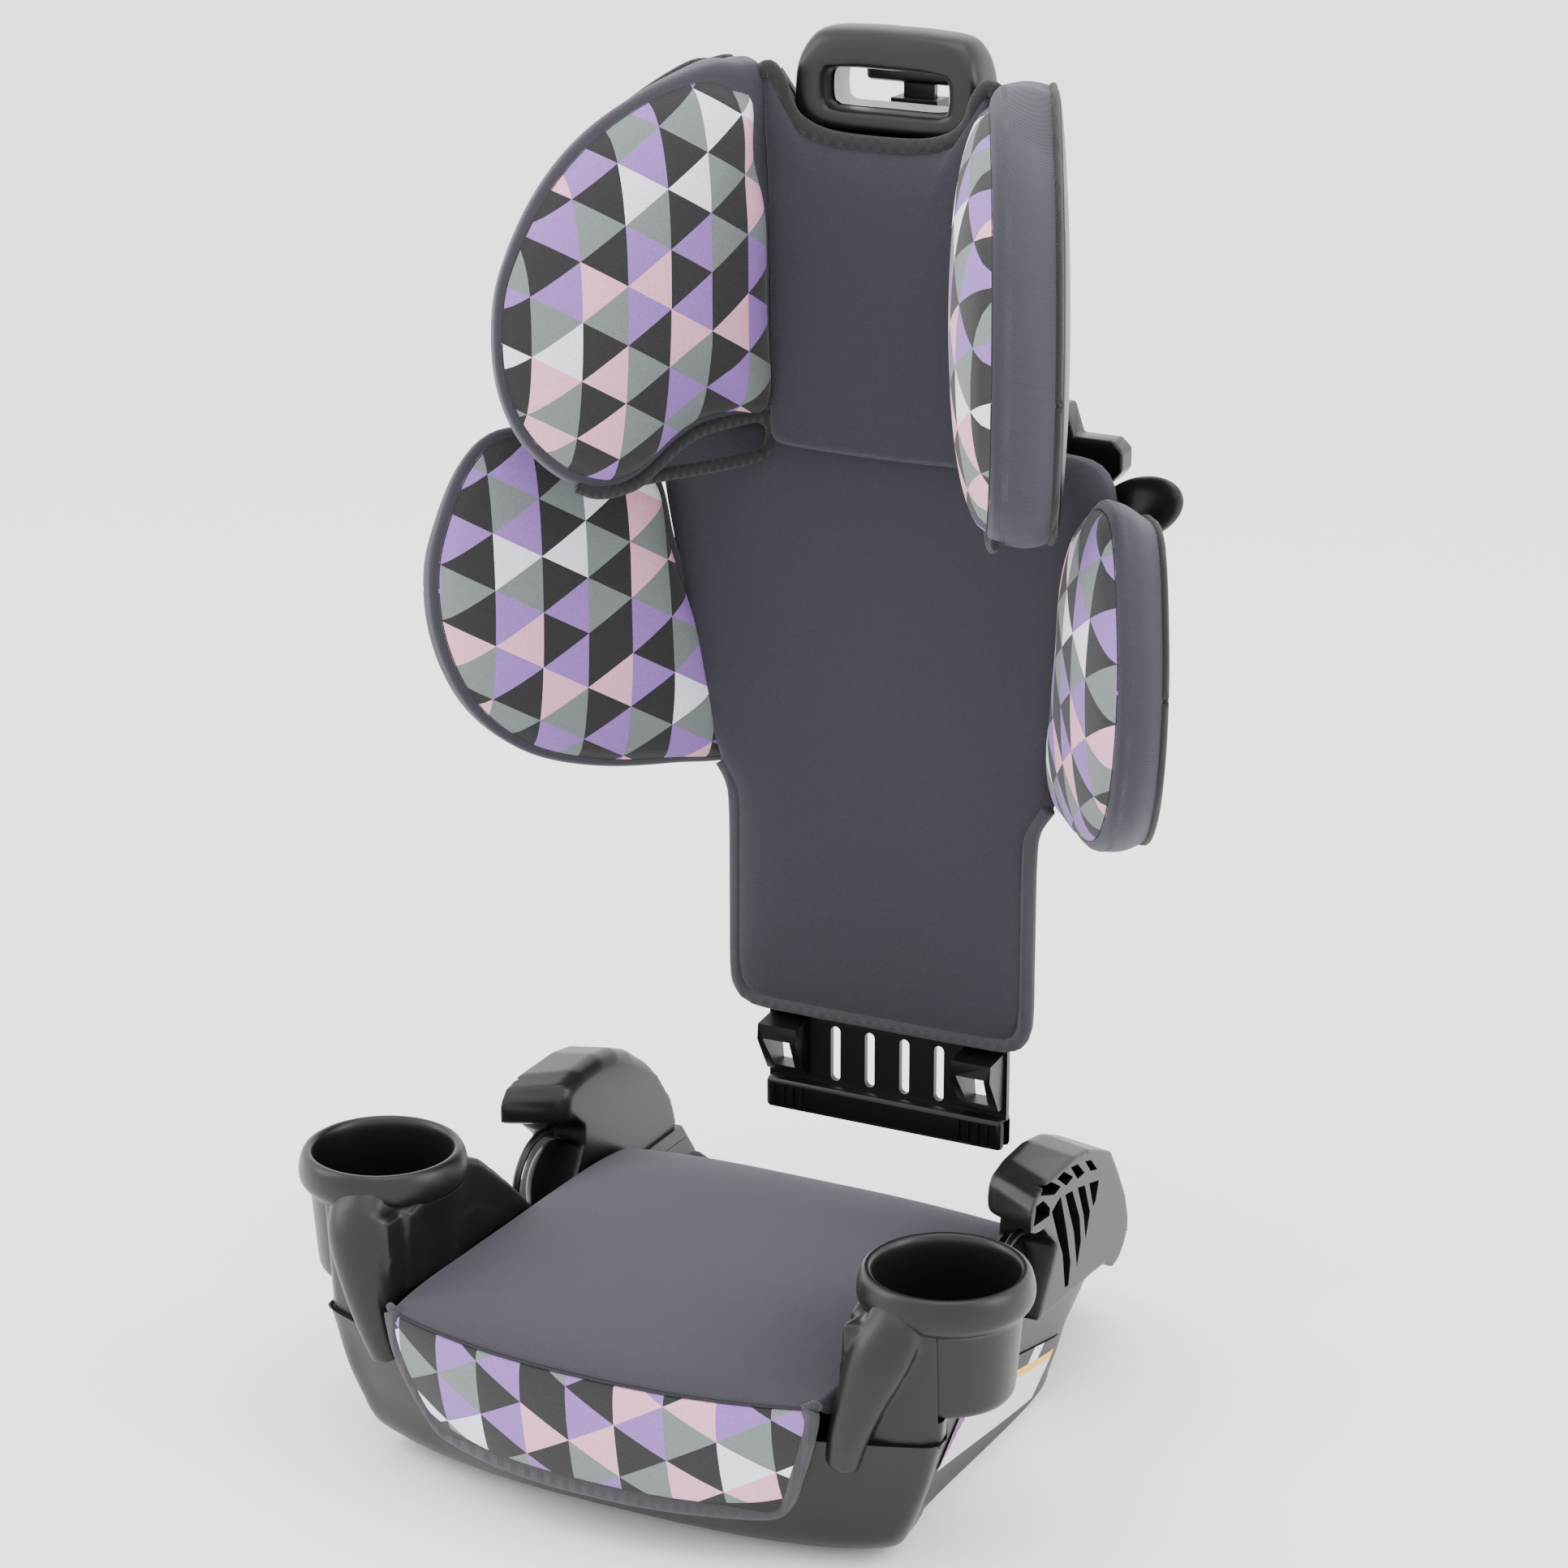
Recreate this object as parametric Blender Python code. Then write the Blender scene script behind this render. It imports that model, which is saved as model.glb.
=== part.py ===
"""Two-piece high-back booster seat: a low base with cup holders and hooked armrests, and a
wide-winged back that lifts off it, with a headrest that slides on the back.

Frame: metres, +Z up, the child faces -Y, X = 0 is the plane of symmetry. The origin is on the
floor, in the middle of the object's box. The back is modelled lifted LIFT above its seated place.
"""

import math

import bmesh
import bpy
from mathutils import Matrix, Vector

# ---- driving dimensions (metres) -------------------------------------------------------------
GAP = 0.0004              # clearance between pieces that touch
LIFT = 0.090              # how far the back hangs above its seated place
DECK_Z = 0.085            # top of the hard seat deck
SHELL_TOP = 0.075         # top of the lower shell, where the deck lands on it
SHELL_WALL = 0.0155        # the front wall is this deep, to take the cover's flap
SLOT_X = 0.0900           # half width of the slot that takes the hook plate
SLOT_Y = (0.1590, 0.2045)
CUP_X, CUP_Y = 0.180, -0.1125
CUP_RIM_Z, CUP_LIP_Z, CUP_FLOOR_Z = 0.1730, 0.1600, 0.0980
CUP_RIM_R, CUP_BODY_R, CUP_FOOT_R, CUP_WALL = 0.0480, 0.0430, 0.0390, 0.0028
ARM_X = (0.1385, 0.1760)  # inner and outer side of an armrest
HINGE_Y, HINGE_Z, HINGE_R = 0.1875, 0.030, 0.0040
PLATE_X = 0.0815          # half width of the hook plate
PAD_Y = 0.1700            # front face of the back pad
PANEL_Y = 0.1862          # front face of the hard back panel
PANEL_T = 0.0050
HEAD_Y = 0.1600           # front face of the headrest pad
HEAD_PLATE_Y = (0.1750, 0.1786)
HEAD_SHELL_Y = (0.2090, 0.2130)
WING_T = 0.0360           # thickness of a wing pad
SKIN_T = 0.0040           # thickness of a moulded skin
FOAM_IN = 0.0070          # fabric left around a foam core
# each wing: root and tip of its inner face, and how its side band leans back at the tip
HEAD_PLAN = (Vector((0.0670, 0.1655, 0)), Vector((0.1540, -0.0145, 0)), Vector((0.670, 0.948, 0)))
LOW_PLAN = (Vector((0.1200, 0.1755, 0)), Vector((0.2210, 0.0135, 0)), Vector((0.451, 0.708, 0)))
RAIL_X = 0.0480           # centre line of the two headrest rails
TAU = 2 * math.pi

BLACK = (0.018, 0.019, 0.020)
STEEL = (0.55, 0.56, 0.58)
FOAM = (0.80, 0.80, 0.78)
GREY_CLOTH = (0.075, 0.073, 0.083)
PRINT_CLOTH = (0.36, 0.28, 0.46)
LABEL = (0.75, 0.75, 0.75)
SIDES = (("left", -1), ("right", 1))


def clear_scene():
    for obj in list(bpy.data.objects):
        bpy.data.objects.remove(obj)


def material(name, colour, roughness, metallic=0.0):
    """One Principled material for each finish, made once."""
    found = bpy.data.materials.get(name)
    if found:
        return found
    made = bpy.data.materials.new(name)
    made.use_nodes = True
    shader = made.node_tree.nodes["Principled BSDF"]
    shader.inputs["Base Color"].default_value = (*colour, 1.0)
    shader.inputs["Roughness"].default_value = roughness
    shader.inputs["Metallic"].default_value = metallic
    return made


def plastic():
    return material("black_plastic", BLACK, 0.42)


def steel():
    return material("steel", STEEL, 0.3, 1.0)


def foam():
    return material("foam", FOAM, 0.9)


def grey_cloth():
    return material("grey_cloth", GREY_CLOTH, 0.95)


def print_cloth():
    return material("print_cloth", PRINT_CLOTH, 0.95)


# ---- building blocks -------------------------------------------------------------------------
def add(name, bm, finish=None, smooth=35):
    """Turns a bmesh into a named object with its normals outwards."""
    bmesh.ops.remove_doubles(bm, verts=bm.verts, dist=1e-6)
    bmesh.ops.recalc_face_normals(bm, faces=bm.faces)
    mesh = bpy.data.meshes.new(name)
    bm.to_mesh(mesh)
    bm.free()
    mesh.shade_smooth()
    mesh.set_sharp_from_angle(angle=math.radians(smooth))
    obj = bpy.data.objects.new(name, mesh)
    bpy.context.scene.collection.objects.link(obj)
    if finish:
        mesh.materials.append(finish)
    return obj


def prism(outline, direction):
    """A bmesh: a flat outline of 3-D points, extruded along direction."""
    bm = bmesh.new()
    face = bm.faces.new([bm.verts.new(p) for p in outline])
    made = bmesh.ops.extrude_face_region(bm, geom=[face])
    moved = [v for v in made["geom"] if isinstance(v, bmesh.types.BMVert)]
    bmesh.ops.translate(bm, verts=moved, vec=direction)
    return bm


def loft(rings):
    """A bmesh: closed rings of equal length, bridged in turn and capped at both ends."""
    bm = bmesh.new()
    loops = []
    for ring in rings:
        verts = [bm.verts.new(p) for p in ring]
        loops.append([bm.edges.new((verts[i - 1], verts[i])) for i in range(len(verts))])
    for low, high in zip(loops, loops[1:]):
        bmesh.ops.bridge_loops(bm, edges=low + high)
    for loop in (loops[0], loops[-1]):
        bmesh.ops.contextual_create(bm, geom=loop)
    return bm


def box_bm(low, high):
    bm = bmesh.new()
    size = Vector(high) - Vector(low)
    matrix = Matrix.Translation((Vector(high) + Vector(low)) / 2) @ Matrix.Diagonal((*size, 1))
    bmesh.ops.create_cube(bm, size=1, matrix=matrix)
    return bm


def box(name, low, high, finish=None, bevel=0.0, segments=2):
    bm = box_bm(low, high)
    if bevel:
        bmesh.ops.bevel(bm, geom=bm.edges[:], offset=bevel, segments=segments, profile=0.5,
                        affect="EDGES", material=-1)
    return add(name, bm, finish)


def rod_bm(start, end, radius, sides=20):
    """A bmesh: a capped cylinder from start to end."""
    start, end = Vector(start), Vector(end)
    turn = (end - start).to_track_quat("Z", "Y").to_matrix().to_4x4()
    bm = bmesh.new()
    bmesh.ops.create_cone(bm, cap_ends=True, segments=sides, radius1=radius, radius2=radius,
                          depth=(end - start).length,
                          matrix=Matrix.Translation((start + end) / 2) @ turn)
    return bm


def cut(target, *cutters, operation="DIFFERENCE"):
    """Applies a Boolean for each cutter, then removes the cutter."""
    for cutter in cutters:
        mod = target.modifiers.new("cut", "BOOLEAN")
        mod.operation = operation
        mod.solver = "EXACT"
        mod.object = cutter
        graph = bpy.context.evaluated_depsgraph_get()
        mesh = bpy.data.meshes.new_from_object(target.evaluated_get(graph))
        target.modifiers.clear()
        target.data = mesh
        bpy.data.objects.remove(cutter)
    target.data.shade_smooth()
    target.data.set_sharp_from_angle(angle=math.radians(35))
    return target


def join(target, *others):
    return cut(target, *others, operation="UNION")


def cutter(bm):
    return add("cutter", bm)


def mirrored(build):
    """Runs build(name suffix, sign) for the left (-X) and the right (+X) side."""
    return [build(side, sign) for side, sign in SIDES]


def arc(centre, radius, start, end, steps):
    """Points on an arc in the plane of the outline, angles in degrees."""
    return [(centre[0] + radius * math.cos(math.radians(start + (end - start) * i / steps)),
             centre[1] + radius * math.sin(math.radians(start + (end - start) * i / steps)))
            for i in range(steps + 1)]


def smooth_outline(points, per_span=4):
    """A closed Catmull-Rom curve through a few design points."""
    made = []
    count = len(points)
    for i in range(count):
        a, b, c, d = (Vector(points[(i + k) % count]) for k in (-1, 0, 1, 2))
        for k in range(per_span):
            t = k / per_span
            made.append(0.5 * (2 * b + (c - a) * t + (2 * a - 5 * b + 4 * c - d) * t * t
                               + (3 * b - 3 * c + d - a) * t ** 3))
    return made


def rounded(low, high, radius, steps=4):
    """A rounded rectangle, as (u, v) points."""
    (u0, v0), (u1, v1) = low, high
    corners = ((u1 - radius, v1 - radius, 0), (u0 + radius, v1 - radius, 90),
               (u0 + radius, v0 + radius, 180), (u1 - radius, v0 + radius, 270))
    return [p for u, v, a in corners for p in arc((u, v), radius, a, a + 90, steps)]


# ---- base ------------------------------------------------------------------------------------
# plan outlines of the base, right half from the front centre round to the rear, at each height
BASE_LEVELS = (
    (0.000, ((0, -0.1505), (0.060, -0.1495), (0.110, -0.1420), (0.138, -0.1300), (0.151, -0.1140),
             (0.154, -0.0970), (0.152, -0.0800), (0.150, -0.0600), (0.150, 0.0800), (0.135, 0.1350),
             (0.110, 0.2000), (0.085, 0.2120), (0, 0.2125))),
    (0.016, ((0, -0.1770), (0.060, -0.1745), (0.113, -0.1660), (0.150, -0.1550), (0.167, -0.1450),
             (0.166, -0.1240), (0.157, -0.0980), (0.152, -0.0700), (0.152, 0.0900), (0.137, 0.1400),
             (0.111, 0.2010), (0.085, 0.2125), (0, 0.2130))),
    (0.044, ((0, -0.1975), (0.060, -0.1925), (0.116, -0.1745), (0.160, -0.1590), (0.181, -0.1495),
             (0.176, -0.1270), (0.163, -0.0990), (0.156, -0.0710), (0.155, 0.1150), (0.142, 0.1520),
             (0.117, 0.2030), (0.088, 0.2135), (0, 0.2140))),
    (0.075, ((0, -0.2015), (0.060, -0.1965), (0.121, -0.1775), (0.168, -0.1620), (0.191, -0.1500),
             (0.184, -0.1280), (0.168, -0.1000), (0.161, -0.0720), (0.161, 0.1480), (0.152, 0.1780),
             (0.130, 0.2050), (0.090, 0.2140), (0, 0.2145))),
    (0.090, ((0, -0.2040), (0.060, -0.1990), (0.124, -0.1795), (0.172, -0.1640), (0.195, -0.1515),
             (0.189, -0.1290), (0.174, -0.1010), (0.166, -0.0720), (0.166, 0.1600), (0.158, 0.1850),
             (0.138, 0.2070), (0.095, 0.2148), (0, 0.2150))),
)


def base_ring(z, grow=0.0):
    """The base's plan outline at a height, blended between BASE_LEVELS and offset by grow."""
    rows = BASE_LEVELS
    row = next((i for i in range(len(rows) - 1) if z <= rows[i + 1][0]), len(rows) - 2)
    t = max(0.0, (z - rows[row][0]) / (rows[row + 1][0] - rows[row][0]))
    half = [(a[0] * (1 - t) + b[0] * t, a[1] * (1 - t) + b[1] * t)
            for a, b in zip(rows[row][1], rows[row + 1][1])]
    ring = smooth_outline(half + [(-x, y) for x, y in half[-2:0:-1]], 2)
    return [Vector((p[0], p[1], z)) for p in inset(ring, -grow)]


def base_loft(low, high, grow=0.0):
    """A solid with the base's outline between two heights."""
    levels = [low] + [r[0] for r in BASE_LEVELS if low < r[0] < high] + [high]
    return loft([base_ring(z, grow) for z in levels])


FLAP_X, FLAP_Z, FLAP_T = 0.1200, 0.0340, 0.0080


def flap_zone(clear, top=DECK_Z + 0.004):
    """The band across the front where the cover's flap lies."""
    zone = add("zone", base_loft(FLAP_Z - clear, top, 0.0010))
    core = cutter(base_loft(FLAP_Z - 0.01, top + 0.01, 0.0010 - FLAP_T - clear))
    front = cutter(box_bm((-FLAP_X - clear, -0.3, 0), (FLAP_X + clear, -0.12, 0.2)))
    cut(zone, core)
    return cut(zone, front, operation="INTERSECT")


# the base falls away to the rear: (y, z) of each slope's upper and lower end, and its half width
RAMP = ((0.1100, 0.0855), (0.2160, 0.0280), 0.1365)
TAIL = ((0.1705, 0.0855), (0.2150, 0.0270), 0.3000)


def above_slope(slope, drop=0.0, widen=0.0):
    """A cutter for everything above a rear slope of the base, lowered by drop."""
    (y0, z0), (y1, z1), half = slope
    outline = [(-half - widen, y0, z0 - drop), (-half - widen, y1, z1 - drop), (-half - widen, 0.3, z1 - drop),
               (-half - widen, 0.3, 0.2), (-half - widen, y0, 0.2)]
    return cutter(prism(outline, (2 * (half + widen), 0, 0)))


def base_shell():
    """Lower shell: a tapered tub, ribbed below, with the slot for the hook plate."""
    shell = add("base_shell", base_loft(0.0, SHELL_TOP), plastic())
    heights = (-0.010, 0.002, 0.016, 0.044, SHELL_TOP - 0.0035)
    hollow = cutter(loft([[Vector((p[0], p[1], z)) for p in shrunk(base_ring(max(z, 0)), SHELL_WALL)]
                          for z in heights]))
    rib = 0.0016
    walls = [box_bm((x - rib, -0.3, -0.05), (x + rib, 0.3, 0.2)) for x in (-0.110, -0.055, 0.0, 0.055, 0.110)]
    walls += [box_bm((-0.3, y - rib, -0.05), (0.3, y + rib, 0.2)) for y in (-0.105, -0.052, 0.0, 0.052, 0.104)]
    cut(hollow, *[cutter(w) for w in walls])
    frame = ((-SLOT_X - 0.0035, SLOT_Y[0] - 0.0035, -0.1), (SLOT_X + 0.0035, 0.3, 0.2))
    cut(hollow, cutter(box_bm(*frame)))
    cut(hollow, above_slope(RAMP, 0.0040, 0.0035), above_slope(TAIL, 0.0055))
    cut(shell, hollow)
    cut(shell, above_slope(RAMP), above_slope(TAIL))
    slot = cutter(box_bm((-SLOT_X, SLOT_Y[0], -0.1), (SLOT_X, SLOT_Y[1], 0.2)))
    cut(shell, slot, flap_zone(4 * GAP))
    for sign in (-1, 1):
        seat = cutter(rod_bm((sign * (SLOT_X - 0.01), HINGE_Y, HINGE_Z),
                             (sign * (SLOT_X + 0.0012), HINGE_Y, HINGE_Z), 0.0085, 24))
        cut(shell, seat)
    return shell


def seat_deck():
    """Upper deck that closes the tub and carries the foam, with two arms back to the slope."""
    deck = add("seat_deck", base_loft(SHELL_TOP + GAP, DECK_Z), plastic())
    return cut(deck, above_slope(RAMP), above_slope(TAIL), flap_zone(4 * GAP))


def hinge():
    """Steel bar across the slot, turning in two plastic bushes."""
    add("hinge_bar", rod_bm((-SLOT_X + 0.0040, HINGE_Y, HINGE_Z), (SLOT_X - 0.0040, HINGE_Y, HINGE_Z),
                            HINGE_R, 24), steel())

    def bush(side, sign):
        ring = add(f"hinge_bush_{side}",
                   rod_bm((sign * (SLOT_X - 0.0060), HINGE_Y, HINGE_Z),
                          (sign * (SLOT_X + 0.0008), HINGE_Y, HINGE_Z), 0.0080, 24),
                   material("grey_nylon", (0.25, 0.25, 0.26), 0.5))
        bore = cutter(rod_bm((sign * (SLOT_X - 0.02), HINGE_Y, HINGE_Z),
                             (sign * (SLOT_X - 0.0035), HINGE_Y, HINGE_Z), HINGE_R + 0.0001, 24))
        return cut(ring, bore)

    mirrored(bush)


# side outline of an armrest, (y, z): tip, hump, tail, foot and the belt throat
ARM_OUTLINE = (
    (0.0265, 0.1380), (0.0250, 0.1560), (0.0420, 0.1650), (0.0800, 0.1710), (0.1150, 0.1650),
    (0.1400, 0.1480), (0.1580, 0.1230), (0.1690, 0.0990), (0.1700, 0.0854), (0.0320, 0.0854),
    (0.0400, 0.1000), (0.0520, 0.1190), (0.0560, 0.1330), (0.0460, 0.1345),
)
# cells between the stiffening ribs on the outer side of an armrest, (y, z)
ARM_CELLS = (
    ((0.0330, 0.1440), (0.0370, 0.1570), (0.0520, 0.1620), (0.0480, 0.1440)),
    ((0.0510, 0.1440), (0.0550, 0.1630), (0.0720, 0.1650), (0.0660, 0.1440)),
    ((0.0690, 0.1440), (0.0750, 0.1650), (0.0920, 0.1630), (0.0840, 0.1440)),
    ((0.0620, 0.1400), (0.0600, 0.1200), (0.0500, 0.1010), (0.0680, 0.1150), (0.0760, 0.1400)),
    ((0.0790, 0.1400), (0.0710, 0.1140), (0.0560, 0.0960), (0.0820, 0.1140), (0.0930, 0.1400)),
    ((0.0960, 0.1400), (0.0860, 0.1140), (0.0640, 0.0920), (0.0960, 0.1120), (0.1080, 0.1400)),
)


def armrest(side, sign):
    """Hooked armrest: the lap belt runs under its tip. Its outer side is ribbed."""
    inner, outer = ARM_X
    outline = [(sign * inner, y, z) for y, z in ARM_OUTLINE]
    bm = prism(outline, (sign * (outer - inner), 0, 0))
    bmesh.ops.recalc_face_normals(bm, faces=bm.faces)
    for v in bm.verts:
        if abs(v.co.x) > inner + 0.001 and v.co.y < 0.05 and v.co.z > 0.13:
            v.co.y -= 0.0190
    rim = [e for e in bm.edges if abs(e.verts[0].co.x - e.verts[1].co.x) < 1e-6
           and min(v.co.z for v in e.verts) > 0.12]
    bmesh.ops.bevel(bm, geom=rim, offset=0.005, segments=2, profile=0.5, affect="EDGES", material=-1)
    arm = add(f"armrest_{side}", bm, plastic())
    cells = [cutter(prism([(sign * (inner + 0.006), y, z) for y, z in cell], (sign * 0.06, 0, 0)))
             for cell in ARM_CELLS]
    return cut(arm, *cells)


BRACKET_OUTLINE = (
    (-0.1800, 0.0854), (-0.1790, 0.1100), (-0.1740, 0.1350), (-0.1650, 0.1540), (-0.1500, 0.1594),
    (-0.0750, 0.1594), (-0.0550, 0.1430), (-0.0300, 0.1210), (0.0000, 0.0940), (0.0120, 0.0854),
)


SHOE_TOP = 0.1450


def cup_bracket(side, sign):
    """Front corner moulding: a fin in front of the cup, the cup's seat and a hump behind it."""
    bm = prism([(sign * 0.1370, y, z) for y, z in BRACKET_OUTLINE], (sign * 0.0300, 0, 0))
    bmesh.ops.recalc_face_normals(bm, faces=bm.faces)
    rim = [e for e in bm.edges if abs(e.verts[0].co.x - e.verts[1].co.x) < 1e-6
           and min(v.co.z for v in e.verts) > 0.09]
    bmesh.ops.bevel(bm, geom=rim, offset=0.005, segments=2, profile=0.5, affect="EDGES", material=-1)
    bracket = add(f"cup_bracket_{side}", bm, plastic())
    plan = ((0.1450, -0.1700), (0.1720, -0.1640), (0.1945, -0.1540), (0.1890, -0.1290), (0.1740, -0.1010),
            (0.1450, -0.0700))
    low = [(sign * x, y, DECK_Z + GAP) for x, y in plan]
    high = [(sign * x * 1.03, y, SHOE_TOP) for x, y in plan]
    join(bracket, add("shoe", loft([low, high])))
    well = cutter(rod_bm((sign * CUP_X, CUP_Y, CUP_FLOOR_Z - 0.0006), (sign * CUP_X, CUP_Y, 0.3),
                         CUP_BODY_R + 0.0006, 40))
    return cut(bracket, well)


def cup_holder(side, sign):
    """Removable cup: a tapered body under a broad lip, turned about its own axis."""
    lip, rim, body, foot, wall, floor = (CUP_LIP_Z, CUP_RIM_Z, CUP_BODY_R, CUP_FOOT_R, CUP_WALL, CUP_FLOOR_Z)
    profile = ((0.0, floor), (foot - 0.006, floor), (foot, floor + 0.005), (body, lip - 0.006), (body, lip),
               (CUP_RIM_R - 0.0015, lip), (CUP_RIM_R, lip + 0.003), (CUP_RIM_R - 0.0010, rim - 0.004),
               (CUP_RIM_R - 0.0040, rim), (body - 0.0010, rim - 0.0005), (body - 0.0028, rim - 0.0050),
               (foot - wall, floor + 0.009), (foot - 0.010, floor + wall), (0.0, floor + wall))
    bm = bmesh.new()
    verts = [bm.verts.new((r, 0, z)) for r, z in profile]
    edges = [bm.edges.new(pair) for pair in zip(verts, verts[1:])]
    bmesh.ops.spin(bm, geom=verts + edges, cent=(0, 0, 0), axis=(0, 0, 1), dvec=(0, 0, 0),
                   angle=TAU, steps=40, use_merge=True)
    bmesh.ops.translate(bm, verts=bm.verts, vec=(sign * CUP_X, CUP_Y, 0))
    return add(f"cup_holder_{side}", bm, plastic())


def side_label(side, sign):
    """Blank paper label that follows the flank of the lower shell."""
    label = add(f"side_label_{side}", base_loft(0.0010, 0.0650, 0.0012), material("label", LABEL, 0.6))
    cut(label, cutter(base_loft(-0.0100, 0.0700, 0.0006)))
    corners = ((-0.0480, 0.0040), (0.0700, 0.0030), (0.1050, 0.0310), (0.1000, 0.0620), (-0.0400, 0.0620))
    area = cutter(prism([(sign * 0.1400, y, z) for y, z in corners], (sign * 0.1, 0, 0)))
    return cut(label, area, operation="INTERSECT")


SCREW_XY = ((-0.100, -0.125), (0.100, -0.125), (-0.100, 0.070), (0.100, 0.070))


def deck_screws():
    """Pan-head screws that pull the deck onto the shell, under the foam."""
    for i, (x, y) in enumerate(SCREW_XY):
        add(f"deck_screw_{i + 1}", rod_bm((x, y, DECK_Z + GAP), (x, y, DECK_Z + 0.0026), 0.0045, 12), steel())


# seat pad: height above the floor, half width, front and rear of each level
COVER_SECTIONS = ((DECK_Z + GAP, 0.1352, -0.1840, 0.1080), (0.0940, 0.1362, -0.1850, 0.1080),
                  (0.1060, 0.1345, -0.1800, 0.0960), (0.1160, 0.1240, -0.1600, 0.0780),
                  (0.1210, 0.1020, -0.1300, 0.0480))
FOAM_SECTIONS = ((DECK_Z + GAP, 0.1240, -0.1700, 0.0980), (0.0950, 0.1240, -0.1700, 0.0980),
                 (0.1050, 0.1180, -0.1600, 0.0840), (0.1110, 0.1000, -0.1300, 0.0620))


def pad_ring(z, half, front, rear, grow=0.0, count=40, power=5.0):
    mid, depth = (front + rear) / 2, (rear - front) / 2 + grow
    ring = []
    for i in range(count):
        c, s = math.cos(TAU * i / count), math.sin(TAU * i / count)
        ring.append(Vector(((half + grow) * math.copysign(abs(c) ** (2 / power), c),
                            mid + depth * math.copysign(abs(s) ** (2 / power), s), z)))
    return ring


def seat_pad():
    """Foam block on the deck and the fabric cover over it, with its front flap."""
    core = add("seat_foam", loft([pad_ring(*row) for row in FOAM_SECTIONS]), foam())
    cut(core, *[cutter(rod_bm((x, y, 0.08), (x, y, DECK_Z + 0.0034), 0.0055, 12)) for x, y in SCREW_XY])
    cover = add("seat_cover", loft([pad_ring(*row) for row in COVER_SECTIONS]), print_cloth())
    rows = [(z + (GAP if i else -0.01), *rest) for i, (z, *rest) in enumerate(FOAM_SECTIONS)]
    cut(cover, cutter(loft([pad_ring(*row, grow=GAP) for row in rows])))
    flap = add("flap", base_loft(FLAP_Z, 0.1000, 0.0010))
    cut(flap, cutter(base_loft(FLAP_Z - 0.01, DECK_Z + GAP, 0.0010 - FLAP_T)))
    cut(flap, cutter(box_bm((-0.3, -0.1765, DECK_Z - 0.0010), (0.3, 0.3, 0.2))))
    cut(flap, cutter(box_bm((-FLAP_X, -0.3, 0), (FLAP_X, -0.12, 0.2))), operation="INTERSECT")
    return join(cover, flap)


# ---- back (modelled lifted by LIFT) ----------------------------------------------------------
PLATE_Z = (0.0156 + LIFT, 0.0911 + LIFT)    # bottom and top of the hook plate
PANEL_Z = (0.0915 + LIFT, 0.6850)
BEAM_H = 0.0210


def hook_plate():
    """Lower tongue of the back: slotted plate, two stop boxes and a channel that hooks the bar."""
    low, high = PLATE_Z
    plate = box("back_hook_plate", (-PLATE_X, PANEL_Y + 0.0002, low + 0.018), (PLATE_X, 0.1906, high), plastic())
    beam = box("beam", (-PLATE_X, 0.1795, low), (PLATE_X, 0.1955, low + BEAM_H), bevel=0.0035)
    join(plate, beam)
    for sign in (-1, 1):
        x0, x1 = sorted((sign * 0.0530, sign * 0.0795))
        profile = ((0.1870, high - 0.0120), (0.1660, high - 0.0140), (0.1650, high - 0.0240),
                   (0.1790, high - 0.0480), (0.1870, high - 0.0480))
        horn = add("horn", prism([(x0, y, z) for y, z in profile], (x1 - x0, 0, 0)))
        join(plate, horn)
        u0, u1 = sorted((sign * 0.0570, sign * 0.0755))
        window = ((u0, high - 0.0230), (u1, high - 0.0230), (u1 - 0.002, high - 0.0440), (u0 + 0.002, high - 0.0440))
        cut(plate, cutter(prism([(x, 0.1, z) for x, z in window], (0, 0.2, 0))))
    for x in (-0.0355, -0.0119, 0.0119, 0.0355):
        slot = rounded((x - 0.0033, low + 0.0235), (x + 0.0033, low + 0.0600), 0.0032, 3)
        cut(plate, cutter(prism([(u, 0.1, v) for u, v in slot], (0, 0.2, 0))))
    cut(plate, cutter(box_bm((-0.2, HINGE_Y - 0.0046, low - 0.01), (0.2, HINGE_Y + 0.0046, low + 0.0190))))
    for x in [s * (0.0540 + 0.0065 * i) for i in range(4) for s in (-1, 1)]:
        cut(plate, cutter(box_bm((x - 0.0012, 0.1, low + 0.0025), (x + 0.0012, 0.1808, low + 0.0165))))
    return plate


def back_panel():
    """Hard spine of the back, narrowed at the top where the headrest runs on it."""
    top, bottom = PANEL_Z[1], PANEL_Z[0]
    half = ((0.0930, bottom), (0.0930, 0.3150), (0.1050, 0.3600), (0.1290, 0.3950), (0.1290, 0.4950),
            (0.0700, 0.5250), (0.0700, top))
    outline = list(half) + [(-x, z) for x, z in reversed(half)]
    panel = add("back_panel", prism([(x, PANEL_Y, z) for x, z in outline], (0, PANEL_T, 0)), plastic())
    rear = PANEL_Y + PANEL_T
    for x in (-0.080, -0.027, 0.027, 0.080):
        join(panel, add("rib", box_bm((x - 0.002, rear - 0.001, bottom + 0.008), (x + 0.002, rear + 0.009, 0.490))))
    for z in (0.2100, 0.2750, 0.3450, 0.4150, 0.4860):
        join(panel, add("rib", box_bm((-0.082, rear - 0.001, z), (0.082, rear + 0.007, z + 0.004))))
    for x, z in BACK_SCREWS:
        cut(panel, cutter(rod_bm((x, 0.1, z), (x, 0.3, z), 0.0030, 12)))
    return panel


BACK_SCREWS = ((-0.055, 0.3100), (0.055, 0.3100), (-0.055, 0.4500), (0.055, 0.4500))
HEAD_SCREWS = ((-0.080, 0.5900), (0.080, 0.5900), (-0.080, 0.6900), (0.080, 0.6900))


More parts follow.
